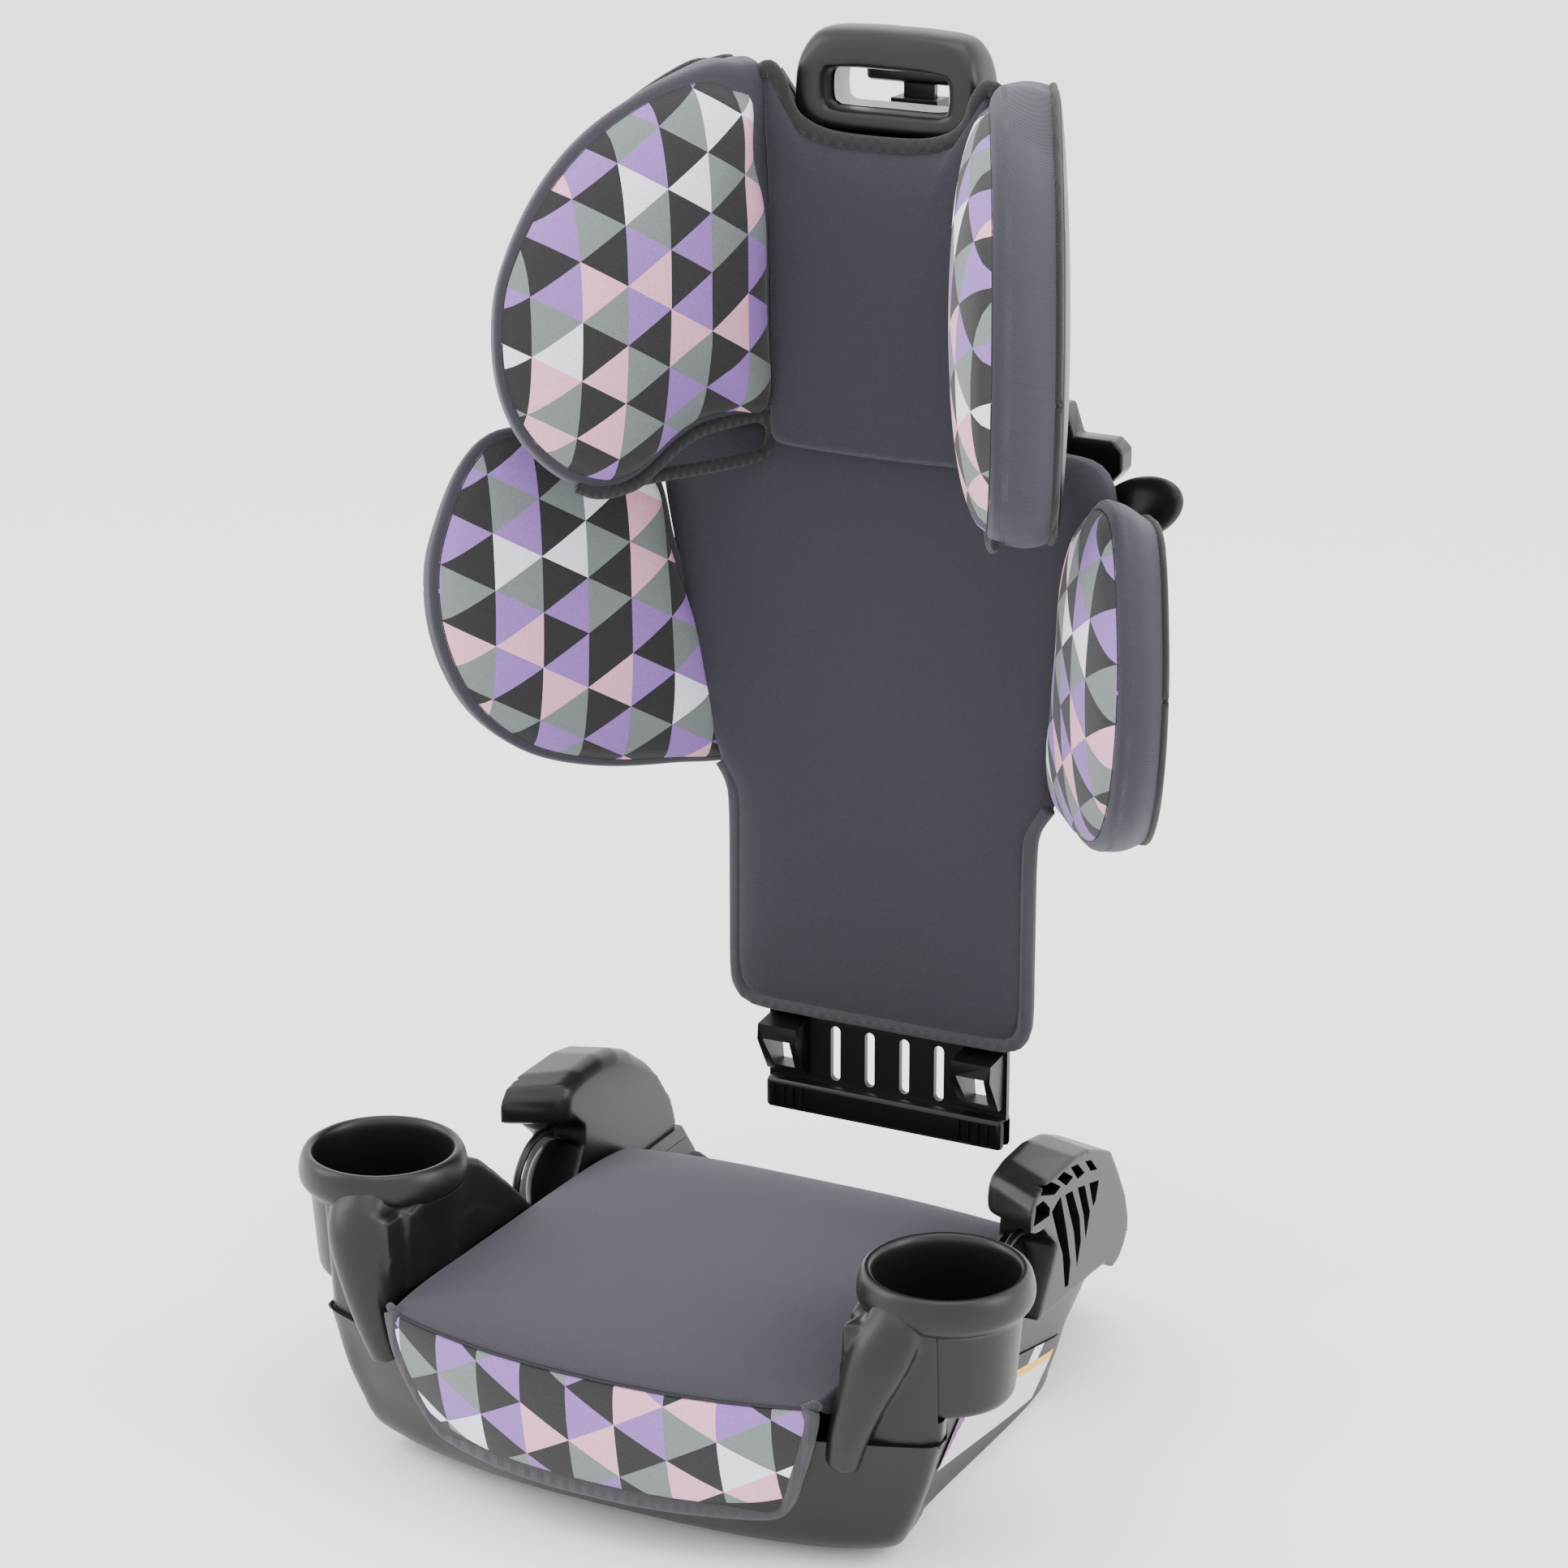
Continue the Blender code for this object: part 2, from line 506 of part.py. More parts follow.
def screws(name, places, depth, head=0.0050):
    """Pan-head screws seen from behind, their heads at depth along Y."""
    for i, (x, z) in enumerate(places):
        add(f"{name}_{i + 1}", rod_bm((x, depth, z), (x, depth + 0.0022, z), head, 12), steel())


def along(root, tip, u, z, out=0.0, sign=1, lean=None):
    """A point u along a wing from its root, at height z, out metres behind its inner face.

    Behind the root the depth runs square to the face; towards the tip it turns to the lean
    direction, which sets how the side band falls away."""
    run = (tip - root).normalized()
    normal = Vector((-run.y, run.x, 0))
    share = min(max(u / (tip - root).length, 0.0), 1.0)
    p = root + run * u + normal.lerp(lean or normal, share) * out
    return Vector((sign * p.x, p.y, z))


# wing outlines seen square on, (distance from the root, height)
HEAD_WING = ((0.0030, 0.7640), (0.0420, 0.7710), (0.0890, 0.7615), (0.1340, 0.7410), (0.1680, 0.7110),
             (0.1920, 0.6720), (0.1995, 0.6410), (0.1970, 0.6030), (0.1820, 0.5700), (0.1550, 0.5440),
             (0.1185, 0.5310), (0.0920, 0.5340), (0.0680, 0.5450), (0.0550, 0.5700), (0.0300, 0.5780),
             (0.0030, 0.5780))
LOW_WING = ((0.0030, 0.5150), (0.0500, 0.5400), (0.1000, 0.5560), (0.1400, 0.5590), (0.1630, 0.5425),
            (0.1790, 0.5105), (0.1870, 0.4800), (0.1850, 0.4420), (0.1720, 0.4050), (0.1510, 0.3760),
            (0.1180, 0.3520), (0.0730, 0.3370), (0.0290, 0.3300), (0.0030, 0.3290))


def inset(points, distance):
    """Moves a closed (u, v) outline inwards by distance."""
    count = len(points)
    area = sum(points[i - 1][0] * points[i][1] - points[i][0] * points[i - 1][1] for i in range(count))
    turn = 1 if area > 0 else -1
    made = []
    for i in range(count):
        before, here, after = (Vector(points[(i + k) % count]) for k in (-1, 0, 1))
        run = (after - before).normalized()
        made.append(here + Vector((-run.y, run.x)) * turn * distance)
    return made


def shrunk(points, margin):
    """Scales a closed (u, v) outline about the middle of its box, to leave margin all round."""
    us, vs = [p[0] for p in points], [p[1] for p in points]
    u0, v0 = (max(us) + min(us)) / 2, (max(vs) + min(vs)) / 2
    ku = 1 - margin / ((max(us) - min(us)) / 2)
    kv = 1 - margin / ((max(vs) - min(vs)) / 2)
    return [Vector((u0 + (p[0] - u0) * ku, v0 + (p[1] - v0) * kv)) for p in points]


def wing_ring(wing_plan, outline, sign, depth):
    """The wing's outline at a depth behind its inner face."""
    root, tip, lean = wing_plan
    return [along(root, tip, u, z, depth, sign, lean) for u, z in outline]


def wing(prefix, design, wing_plan, side, sign):
    """One wing: moulded skin outside, foam core, and the padded cover with the core's pocket."""
    outline = smooth_outline(design, 2)

    def solid(margin, near, far):
        ring = shrunk(outline, margin)
        return loft([wing_ring(wing_plan, ring, sign, depth) for depth in (near, far)])

    rim = [wing_ring(wing_plan, shrunk(outline, margin), sign, depth)
           for margin, depth in ((0.0060, 0.0), (0.0015, 0.0040), (0.0, 0.0100), (0.0, WING_T))]
    cover = add(f"{prefix}_wing_pad_{side}", loft(rim), print_cloth())
    cut(cover, cutter(solid(0.0140, FOAM_IN - GAP, WING_T + 0.004)))
    add(f"{prefix}_wing_foam_{side}", solid(0.0185, FOAM_IN, WING_T), foam())
    return add(f"{prefix}_wing_skin_{side}", solid(0.0010, WING_T + GAP, WING_T + GAP + SKIN_T), plastic())


def back_pad():
    """Fabric-covered pad over the panel, with a foam sheet inside it and a thin upper tail."""
    half = ((0.0700, 0.1815), (0.0900, 0.1840), (0.0965, 0.1980), (0.0965, 0.3000), (0.0985, 0.3350),
            (0.1060, 0.4200), (0.1130, 0.5000), (0.1130, 0.5200), (0.0900, 0.5340), (0.0500, 0.5370))
    outline = smooth_outline(list(half) + [(-x, z) for x, z in reversed(half)], 2)
    deep = PANEL_Y - PAD_Y - GAP
    rings = [[Vector((u, PAD_Y + d, v)) for u, v in shrunk(outline, grow)]
             for grow, d in ((0.0050, 0.0), (0.0010, 0.0035), (0.0, 0.0080), (0.0, deep))]
    pad = add("back_pad", loft(rings), grey_cloth())
    tail = add("tail", box_bm((-0.0680, PANEL_Y - 0.0064, 0.5300), (0.0680, PANEL_Y - GAP, 0.6750)))
    join(pad, tail)
    pocket = [(u, PAD_Y + 0.0060 - GAP, v) for u, v in shrunk(outline, 0.0110 - GAP)]
    cut(pad, cutter(prism(pocket, (0, PANEL_Y - PAD_Y - 0.0060, 0))))
    sheet = prism([(u, PAD_Y + 0.0060, v) for u, v in shrunk(outline, 0.0110)], (0, deep - 0.0060, 0))
    add("back_foam", sheet, foam())
    return pad


RAIL_Y = (PANEL_Y + PANEL_T + GAP, 0.2036)
RACK_PITCH, NOTCHES = 0.0150, 11


def height_rack(side, sign):
    """Toothed rail on the panel's upper half that the headrest runs on."""
    x0, x1 = sorted((sign * (RAIL_X - 0.009), sign * (RAIL_X + 0.009)))
    rail = box(f"height_rack_{side}", (x0, RAIL_Y[0], 0.500), (x1, RAIL_Y[1], 0.680), plastic())
    for i in range(NOTCHES):
        z, inner = 0.5100 + i * RACK_PITCH, sign * (RAIL_X - 0.009)
        n0, n1 = sorted((inner - sign * 0.01, inner + sign * 0.004))
        cut(rail, cutter(box_bm((n0, RAIL_Y[0] + 0.003, z), (n1, RAIL_Y[1] + 0.01, z + 0.0075))))
    return rail


# ---- headrest --------------------------------------------------------------------------------
BOLT_Z = (0.5862, 0.5916)


def headrest_shell():
    """Moulded back of the headrest: it wraps the rails, and its cheeks reach the front plate."""
    y0, y1 = HEAD_SHELL_Y
    half = ((0.0900, 0.5350), (0.0960, 0.6000), (0.0960, 0.7300), (0.0860, 0.7560), (0.0650, 0.7280))
    outline = list(half) + [(-x, z) for x, z in reversed(half)]
    shell = add("headrest_shell", prism([(x, y0, z) for x, z in outline], (0, y1 - y0, 0)), plastic())
    for sign in (-1, 1):
        x0, x1 = sorted((sign * 0.0745, sign * 0.0840))
        for z0, z1 in ((0.5500, 0.6100), (0.6500, 0.7200)):
            join(shell, add("cheek", box_bm((x0, HEAD_PLATE_Y[1] + GAP, z0), (x1, y0 + 0.001, z1))))
    for z in (0.5450, 0.6200, 0.6700, 0.7150):
        join(shell, add("rib", box_bm((-0.088, y1 - 0.001, z), (0.088, y1 + 0.005, z + 0.004))))
    for z0, z1 in ((BOLT_Z[0] - 0.0045, BOLT_Z[0] - GAP), (BOLT_Z[1] + GAP, BOLT_Z[1] + 0.0045)):
        join(shell, add("guide", box_bm((-0.036, 0.1975, z0), (0.036, y0 + 0.001, z1))))
    guide = add("guide", box_bm((-0.0150, y1 - 0.001, 0.7240), (0.0150, y1 + 0.0160, 0.7440)))
    cut(guide, cutter(box_bm((-0.0104, y1 + 0.0056, 0.7), (0.0104, y1 + 0.0114, 0.8))))
    return join(shell, guide)


def headrest_front():
    """Front plate of the headrest, which the pad and the wings cover."""
    y0, y1 = HEAD_PLATE_Y
    half = ((0.0840, 0.5450), (0.0840, 0.7480), (0.0655, 0.7245))
    outline = list(half) + [(-x, z) for x, z in reversed(half)]
    return add("headrest_front", prism([(x, y0, z) for x, z in outline], (0, y1 - y0, 0)), plastic())


def headrest_pad():
    """Padded centre of the headrest, scooped at the top to clear the handle."""
    half = ((0.0560, 0.5420), (0.0640, 0.5450), (0.0640, 0.6200), (0.0640, 0.7000), (0.0640, 0.7560),
            (0.0600, 0.7520), (0.0520, 0.7340), (0.0350, 0.7270), (0.0120, 0.7250))
    outline = smooth_outline(list(half) + [(-x, z) for x, z in reversed(half)], 2)
    deep = HEAD_PLATE_Y[0] - HEAD_Y - GAP
    rings = [[Vector((u, HEAD_Y + d, v)) for u, v in shrunk(outline, grow)]
             for grow, d in ((0.0025, 0.0), (0.0, 0.0030), (0.0, deep))]
    pad = add("headrest_pad", loft(rings), grey_cloth())
    core = ((-0.052, HEAD_Y + 0.005, 0.556), (0.052, HEAD_Y + deep, 0.714))
    wider = ((-0.052 - GAP, core[0][1] - GAP, 0.556 - GAP), (0.052 + GAP, 0.3, 0.714 + GAP))
    cut(pad, cutter(box_bm(*wider)))
    add("headrest_foam", box_bm(*core), foam())
    return pad


HANDLE_Y = (0.1752, 0.2085)


def handle():
    """Carrying handle: a rounded loop standing on the headrest's top edge."""
    half = ((0.0400, 0.7290), (0.0600, 0.7290), (0.0640, 0.7340), (0.0640, 0.7600), (0.0580, 0.7780),
            (0.0480, 0.7870), (0.0250, 0.7900),
            (0.0080, 0.7905))
    points = smooth_outline(list(half) + [(-x, z) for x, z in reversed(half)], 3)
    outer = [(u, max(v, 0.7290)) for u, v in points]
    y0, y1 = HANDLE_Y
    rings = [[Vector((u, y, max(v, 0.7285))) for u, v in shrunk(outer, grow)]
             for grow, y in ((0.0080, y0), (0.0020, y0 + 0.0035), (0.0, y0 + 0.0090), (0.0, y1 - 0.0060),
                             (0.0040, y1))]
    loop = add("carry_handle", loft(rings), plastic())
    hole = rounded((-0.0385, 0.7385), (0.0385, 0.7640), 0.0080)
    return cut(loop, cutter(prism([(u, 0.1, v) for u, v in hole], (0, 0.2, 0))))


def release():
    """Squeeze lever behind the handle, and the two latch bolts it draws inwards."""
    y = HEAD_SHELL_Y[1]
    lever = box("release_lever", (-0.0340, y + 0.0040, 0.7520), (0.0340, y + 0.0130, 0.7640), plastic(), 0.003)
    join(lever, box("stem", (-0.0100, y + 0.0060, 0.7260), (0.0100, y + 0.0110, 0.7540)))

    def bolt(side, sign):
        x0, x1 = sorted((sign * 0.0120, sign * (RAIL_X - 0.0096)))
        return box(f"latch_bolt_{side}", (x0, 0.1985, BOLT_Z[0]), (x1, 0.2060, BOLT_Z[1]), steel())

    mirrored(bolt)
    return lever


def belt_guide(side, sign):
    """Open hook beside the headrest that holds the shoulder belt."""
    outline = ((0.0965, 0.5050), (0.1240, 0.5050), (0.1300, 0.5100), (0.1300, 0.5160), (0.1160, 0.5190),
               (0.1130, 0.5240), (0.1150, 0.5300), (0.1350, 0.5320), (0.1420, 0.5400), (0.1420, 0.5520),
               (0.1360, 0.5580), (0.1120, 0.5580), (0.1060, 0.5760), (0.0965, 0.5760))
    return add(f"belt_guide_{side}", prism([(sign * x, 0.1990, z) for x, z in outline], (0, 0.0160, 0)),
               material("guide_plastic", BLACK, 0.35))


def build():
    clear_scene()
    base_shell()
    seat_deck()
    hinge()
    mirrored(armrest)
    mirrored(cup_bracket)
    mirrored(cup_holder)
    mirrored(side_label)
    deck_screws()
    seat_pad()
    hook_plate()
    back_panel()
    back_pad()
    mirrored(height_rack)
    mirrored(lambda side, sign: wing("lower", LOW_WING, LOW_PLAN, side, sign))
    screws("back_screw", BACK_SCREWS, PANEL_Y + PANEL_T + GAP)
    headrest_shell()
    headrest_front()
    headrest_pad()
    handle()
    release()
    mirrored(lambda side, sign: wing("head", HEAD_WING, HEAD_PLAN, side, sign))
    mirrored(belt_guide)
    screws("headrest_screw", HEAD_SCREWS, HEAD_SHELL_Y[1] + GAP)


build()
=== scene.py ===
"""Looks of a two-piece high-back booster seat: moulded black plastic, ribbed grey knit and a
triangle-print knit, bound in twill tape. Metres, +Z up, the child faces -Y."""
import math

import bmesh
import bpy
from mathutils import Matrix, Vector


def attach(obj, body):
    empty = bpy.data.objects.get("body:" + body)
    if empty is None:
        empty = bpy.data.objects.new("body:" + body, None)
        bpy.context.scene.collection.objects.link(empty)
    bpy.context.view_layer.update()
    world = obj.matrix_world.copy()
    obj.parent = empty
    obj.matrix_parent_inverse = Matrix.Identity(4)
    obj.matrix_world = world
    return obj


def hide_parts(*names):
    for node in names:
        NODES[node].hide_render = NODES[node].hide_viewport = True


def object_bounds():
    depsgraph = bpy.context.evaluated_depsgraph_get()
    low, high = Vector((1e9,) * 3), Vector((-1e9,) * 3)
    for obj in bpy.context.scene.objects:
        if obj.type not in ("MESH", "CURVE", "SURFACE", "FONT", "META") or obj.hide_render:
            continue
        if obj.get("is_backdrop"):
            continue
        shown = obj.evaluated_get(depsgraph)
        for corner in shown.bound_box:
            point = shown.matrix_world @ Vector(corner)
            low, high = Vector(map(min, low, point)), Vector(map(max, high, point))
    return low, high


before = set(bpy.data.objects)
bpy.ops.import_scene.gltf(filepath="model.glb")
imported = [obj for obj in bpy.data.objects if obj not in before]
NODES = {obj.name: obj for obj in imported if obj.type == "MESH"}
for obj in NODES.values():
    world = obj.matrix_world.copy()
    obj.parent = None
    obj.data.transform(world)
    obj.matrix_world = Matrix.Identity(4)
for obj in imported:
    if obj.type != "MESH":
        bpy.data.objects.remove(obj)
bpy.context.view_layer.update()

SIDES = (("left", -1), ("right", 1))
TAU = 2 * math.pi


# ---- points and curves ----
def blended(a, b, c, d, t):
    """Catmull-Rom value at share t between b and c, for numbers or vectors."""
    return 0.5 * (2 * b + (c - a) * t + (2 * a - 5 * b + 4 * c - d) * t * t + (3 * b - 3 * c + d - a) * t ** 3)


def spline(points, count, closed=False):
    """Evenly spaced points on a Catmull-Rom curve through a few design points."""
    pts = [Vector(p) for p in points]
    size = len(pts)
    spans = size if closed else size - 1

    def pick(i):
        return pts[i % size] if closed else pts[min(max(i, 0), size - 1)]

    fine = []
    for i in range(spans):
        four = [pick(i + k) for k in (-1, 0, 1, 2)]
        fine += [blended(*four, k / 16) for k in range(16)]
    fine.append(pts[0] if closed else pts[-1])
    run = [0.0]
    for p, q in zip(fine, fine[1:]):
        run.append(run[-1] + (q - p).length)
    made, k = [], 0
    steps = count if closed else count - 1
    for i in range(count):
        want = run[-1] * i / steps
        while k < len(run) - 2 and run[k + 1] < want:
            k += 1
        span = run[k + 1] - run[k] or 1.0
        made.append(fine[k].lerp(fine[k + 1], (want - run[k]) / span))
    return made


def along_curve(points, t):
    """The point at share t of a list of evenly spaced points, blended between neighbours."""
    place = min(max(t, 0.0), 1.0) * (len(points) - 1)
    i = min(int(place), len(points) - 2)
    return points[i].lerp(points[i + 1], place - i)


def mix(a, b, t):
    return a + (b - a) * t


def ease(t):
    t = min(max(t, 0.0), 1.0)
    return t * t * (3 - 2 * t)


# ---- making pieces ----
def finish_mesh(name, bm, materials, body, node=None, smooth=40, flip=True):
    """Turns a bmesh into a piece that rides on a body and stands for its CAD nodes."""
    if flip:
        bmesh.ops.recalc_face_normals(bm, faces=bm.faces)
    mesh = bpy.data.meshes.new(name)
    bm.to_mesh(mesh)
    bm.free()
    mesh.shade_smooth()
    if smooth:
        mesh.set_sharp_from_angle(angle=math.radians(smooth))
    piece = bpy.data.objects.new(name, mesh)
    bpy.context.scene.collection.objects.link(piece)
    for m in materials:
        mesh.materials.append(m)
    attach(piece, body)
    if node:
        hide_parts(*([node] if isinstance(node, str) else node))
    return piece


def formed(across, down, place, chart=None, pick=None):
    """A bmesh grid laid onto place(s, t), with a UV map from chart(s, t) and materials from pick."""
    bm = bmesh.new()
    bmesh.ops.create_grid(bm, x_segments=across, y_segments=down, size=0.5)
    uv = bm.loops.layers.uv.new("cloth")
    for face in bm.faces:
        middle = face.calc_center_median()
        if pick:
            face.material_index = pick(middle.x + 0.5, middle.y + 0.5)
        if chart:
            for loop in face.loops:
                loop[uv].uv = chart(loop.vert.co.x + 0.5, loop.vert.co.y + 0.5)
    for v in bm.verts:
        v.co = place(v.co.x + 0.5, v.co.y + 0.5)
    bmesh.ops.remove_doubles(bm, verts=bm.verts, dist=2e-5)
    return bm


TUBE_STEP = 0.004


def tube_along(path, radius, sides=10, closed=False, flat=1.0, normal=Vector((0, 0, 1))):
    """A bmesh tube along a path, flattened across normal by flat."""
    path = [Vector(p) for p in path]
    count = len(path)

    def place(s, t):
        place_i = t * (count if closed else count - 1)
        i = int(place_i + 1e-6)
        here = path[i % count] if closed else path[min(i, count - 1)]
        before = path[(i - 1) % count] if closed else path[max(i - 1, 0)]
        after = path[(i + 1) % count] if closed else path[min(i + 1, count - 1)]
        run = (after - before).normalized()
        side = run.cross(normal)
        side = side.normalized() if side.length > 1e-6 else run.orthogonal().normalized()
        up = side.cross(run).normalized()
        a = TAU * s
        return here + side * math.cos(a) * radius + up * math.sin(a) * radius * flat

    bm = formed(sides, count if closed else count - 1, place,
                lambda s, t: (s * radius * 6, t * count * TUBE_STEP))
    if not closed:
        bmesh.ops.holes_fill(bm, edges=[e for e in bm.edges if e.is_boundary])
    return bm


def refined(node, body, material, bevel=0.0008, segments=2, smooth=35):
    """A CAD node's own shape with merged points, moulded edge rounds and a finish."""
    bm = bmesh.new()
    bm.from_mesh(NODES[node].data)
    bmesh.ops.remove_doubles(bm, verts=bm.verts, dist=1e-5)
    bmesh.ops.dissolve_limit(bm, angle_limit=math.radians(1.0), verts=bm.verts, edges=bm.edges)
    piece = finish_mesh("fine_" + node, bm, [material], body, node, smooth, flip=False)
    if bevel:
        mod = piece.modifiers.new("edge_round", "BEVEL")
        mod.width = bevel
        mod.segments = segments
        mod.limit_method = "ANGLE"
        mod.angle_limit = math.radians(40)
        mod.harden_normals = True
        mod.use_clamp_overlap = True
    return piece


# ---- finishes ----
class Finish:
    """A material under construction: nodes are added by type, then linked by name."""

    def __init__(self, name):
        self.material = bpy.data.materials.new(name)
        self.material.use_nodes = True
        self.tree = self.material.node_tree
        self.shader = self.tree.nodes["Principled BSDF"]

    def add(self, kind, **settings):
        node = self.tree.nodes.new(kind)
        for key, value in settings.items():
            setattr(node, key, value)
        return node

    def link(self, source, target):
        self.tree.links.new(source, target)

    def value(self, socket, number):
        self.shader.inputs[socket].default_value = number


def group(name, inputs, outputs):
    """An empty node group with named float, vector or colour sockets."""
    made = bpy.data.node_groups.new(name, "ShaderNodeTree")
    for title, kind, default in inputs:
        made.interface.new_socket(title, in_out="INPUT", socket_type=kind).default_value = default
    for title, kind in outputs:
        made.interface.new_socket(title, in_out="OUTPUT", socket_type=kind)
    return made, made.nodes.new("NodeGroupInput"), made.nodes.new("NodeGroupOutput")


def math_node(tree, operation, a, b=None, clamp=False):
    node = tree.nodes.new("ShaderNodeMath")
    node.operation = operation
    node.use_clamp = clamp
    for slot, source in ((0, a), (1, b)):
        if source is None:
            continue
        if isinstance(source, (int, float)):
            node.inputs[slot].default_value = source
        else:
            tree.links.new(source, node.inputs[slot])
    return node.outputs[0]


def grain_group():
    """Moulding grain: fine bumps and slow changes of gloss, on object coordinates."""
    made, given, out = group(
        "moulding_grain",
        (("Grain scale", "NodeSocketFloat", 2200.0), ("Grain depth", "NodeSocketFloat", 0.00004),
         ("Gloss", "NodeSocketFloat", 0.4), ("Gloss change", "NodeSocketFloat", 0.06)),
        (("Roughness", "NodeSocketFloat"), ("Normal", "NodeSocketVector")))
    tree, nodes = made, made.nodes
    place = nodes.new("ShaderNodeTexCoord")
    fine = nodes.new("ShaderNodeTexNoise")
    tree.links.new(place.outputs["Object"], fine.inputs["Vector"])
    tree.links.new(given.outputs["Grain scale"], fine.inputs["Scale"])
    fine.inputs["Detail"].default_value = 2.0
    slow = nodes.new("ShaderNodeTexNoise")
    slow.inputs["Scale"].default_value = 14.0
    slow.inputs["Detail"].default_value = 4.0
    tree.links.new(place.outputs["Object"], slow.inputs["Vector"])
    swing = math_node(tree, "MULTIPLY", math_node(tree, "SUBTRACT", slow.outputs["Fac"], 0.5),
                      given.outputs["Gloss change"])
    tree.links.new(math_node(tree, "ADD", given.outputs["Gloss"], swing, True), out.inputs["Roughness"])
    bump = nodes.new("ShaderNodeBump")
    bump.inputs["Strength"].default_value = 0.6
    tree.links.new(fine.outputs["Fac"], bump.inputs["Height"])
    tree.links.new(given.outputs["Grain depth"], bump.inputs["Distance"])
    tree.links.new(bump.outputs["Normal"], out.inputs["Normal"])
    return made


LOOP_PITCH, RIB_WANDER = 0.0009, 0.0012


def knit_group():
    """Ribbed knit: fine ribs along the UV map's second axis, crossed by yarn noise."""
    made, given, out = group(
        "ribbed_knit",
        (("Rib pitch", "NodeSocketFloat", 0.0011), ("Rib depth", "NodeSocketFloat", 0.00012),
         ("Colour", "NodeSocketColor", (0.06, 0.06, 0.07, 1.0)), ("Change", "NodeSocketFloat", 0.14)),
        (("Colour", "NodeSocketColor"), ("Normal", "NodeSocketVector")))
    tree, nodes = made, made.nodes
    place = nodes.new("ShaderNodeUVMap")
    place.uv_map = "cloth"
    split = nodes.new("ShaderNodeSeparateXYZ")
    tree.links.new(place.outputs["UV"], split.inputs["Vector"])
    wobble = nodes.new("ShaderNodeTexNoise")
    wobble.inputs["Scale"].default_value = 90.0
    tree.links.new(place.outputs["UV"], wobble.inputs["Vector"])
    shift = math_node(tree, "MULTIPLY", wobble.outputs["Fac"], RIB_WANDER)
    along = math_node(tree, "ADD", split.outputs["Y"], shift)
    ribs = math_node(tree, "DIVIDE", along, given.outputs["Rib pitch"])
    wave = math_node(tree, "SINE", math_node(tree, "MULTIPLY", ribs, TAU))
    loops = math_node(tree, "SINE", math_node(tree, "MULTIPLY", split.outputs["X"], TAU / LOOP_PITCH))
    height = math_node(tree, "ADD", math_node(tree, "MULTIPLY", wave, 0.5),
                       math_node(tree, "MULTIPLY", loops, 0.25))
    bump = nodes.new("ShaderNodeBump")
    bump.inputs["Strength"].default_value = 0.8
    tree.links.new(height, bump.inputs["Height"])
    tree.links.new(given.outputs["Rib depth"], bump.inputs["Distance"])
    tree.links.new(bump.outputs["Normal"], out.inputs["Normal"])
    mottle = nodes.new("ShaderNodeTexNoise")
    mottle.inputs["Scale"].default_value = 420.0
    mottle.inputs["Detail"].default_value = 3.0
    tree.links.new(place.outputs["UV"], mottle.inputs["Vector"])
    uneven = math_node(tree, "SUBTRACT", mottle.outputs["Fac"], 0.5)
    # The colour follows the rib wave, so the grooves are darkened as painted shade. The noise mottle on top is
    # real yarn tone.
    level = math_node(tree, "ADD", math_node(tree, "MULTIPLY", wave, 0.25),
                      math_node(tree, "MULTIPLY", uneven, 2.0))
    gain = math_node(tree, "ADD", 1.0, math_node(tree, "MULTIPLY", level, given.outputs["Change"]))
    tint = nodes.new("ShaderNodeVectorMath")
    tint.operation = "SCALE"
    tree.links.new(given.outputs["Colour"], tint.inputs[0])
    tree.links.new(gain, tint.inputs["Scale"])
    tree.links.new(tint.outputs["Vector"], out.inputs["Colour"])
    return made


def twill_group():
    """Herringbone twill tape: slanted ribs that turn back on each other."""
    made, given, out = group(
        "twill_tape",
        (("Pitch", "NodeSocketFloat", 0.0012), ("Colour", "NodeSocketColor", (0.03, 0.03, 0.035, 1.0))),
        (("Colour", "NodeSocketColor"), ("Normal", "NodeSocketVector")))
    tree, nodes = made, made.nodes
    place = nodes.new("ShaderNodeTexCoord")
    split = nodes.new("ShaderNodeSeparateXYZ")
    tree.links.new(place.outputs["Object"], split.inputs["Vector"])
    zig = math_node(tree, "PINGPONG", math_node(tree, "ADD", split.outputs["X"], split.outputs["Y"]), 0.004)
    slant = math_node(tree, "DIVIDE", math_node(tree, "ADD", split.outputs["Z"], zig), given.outputs["Pitch"])
    wave = math_node(tree, "SINE", math_node(tree, "MULTIPLY", slant, TAU))
    bump = nodes.new("ShaderNodeBump")
    bump.inputs["Strength"].default_value = 0.7
    bump.inputs["Distance"].default_value = 0.00025
    tree.links.new(wave, bump.inputs["Height"])
    tree.links.new(bump.outputs["Normal"], out.inputs["Normal"])
    # The slanted grooves are darkened as painted shade, following the same wave as the bump.
    gain = math_node(tree, "ADD", 1.0, math_node(tree, "MULTIPLY", wave, 0.22))
    tint = nodes.new("ShaderNodeVectorMath")
    tint.operation = "SCALE"
    tree.links.new(given.outputs["Colour"], tint.inputs[0])
    tree.links.new(gain, tint.inputs["Scale"])
    tree.links.new(tint.outputs["Vector"], out.inputs["Colour"])
    return made


GRAIN, KNIT, TWILL = grain_group(), knit_group(), twill_group()


def moulded(name, colour, gloss, grain=0.00003, metallic=0.0):
    """Injection-moulded plastic, or metal, with fine grain."""
    made = Finish(name)
    made.value("Base Color", (*colour, 1.0))
    made.value("Metallic", metallic)
    made.value("Specular IOR Level", 0.5 if metallic else 0.34)
    grainy = made.add("ShaderNodeGroup", node_tree=GRAIN)
    grainy.inputs["Gloss"].default_value = gloss
    grainy.inputs["Grain depth"].default_value = grain
    made.link(grainy.outputs["Roughness"], made.shader.inputs["Roughness"])
    made.link(grainy.outputs["Normal"], made.shader.inputs["Normal"])
    return made.material


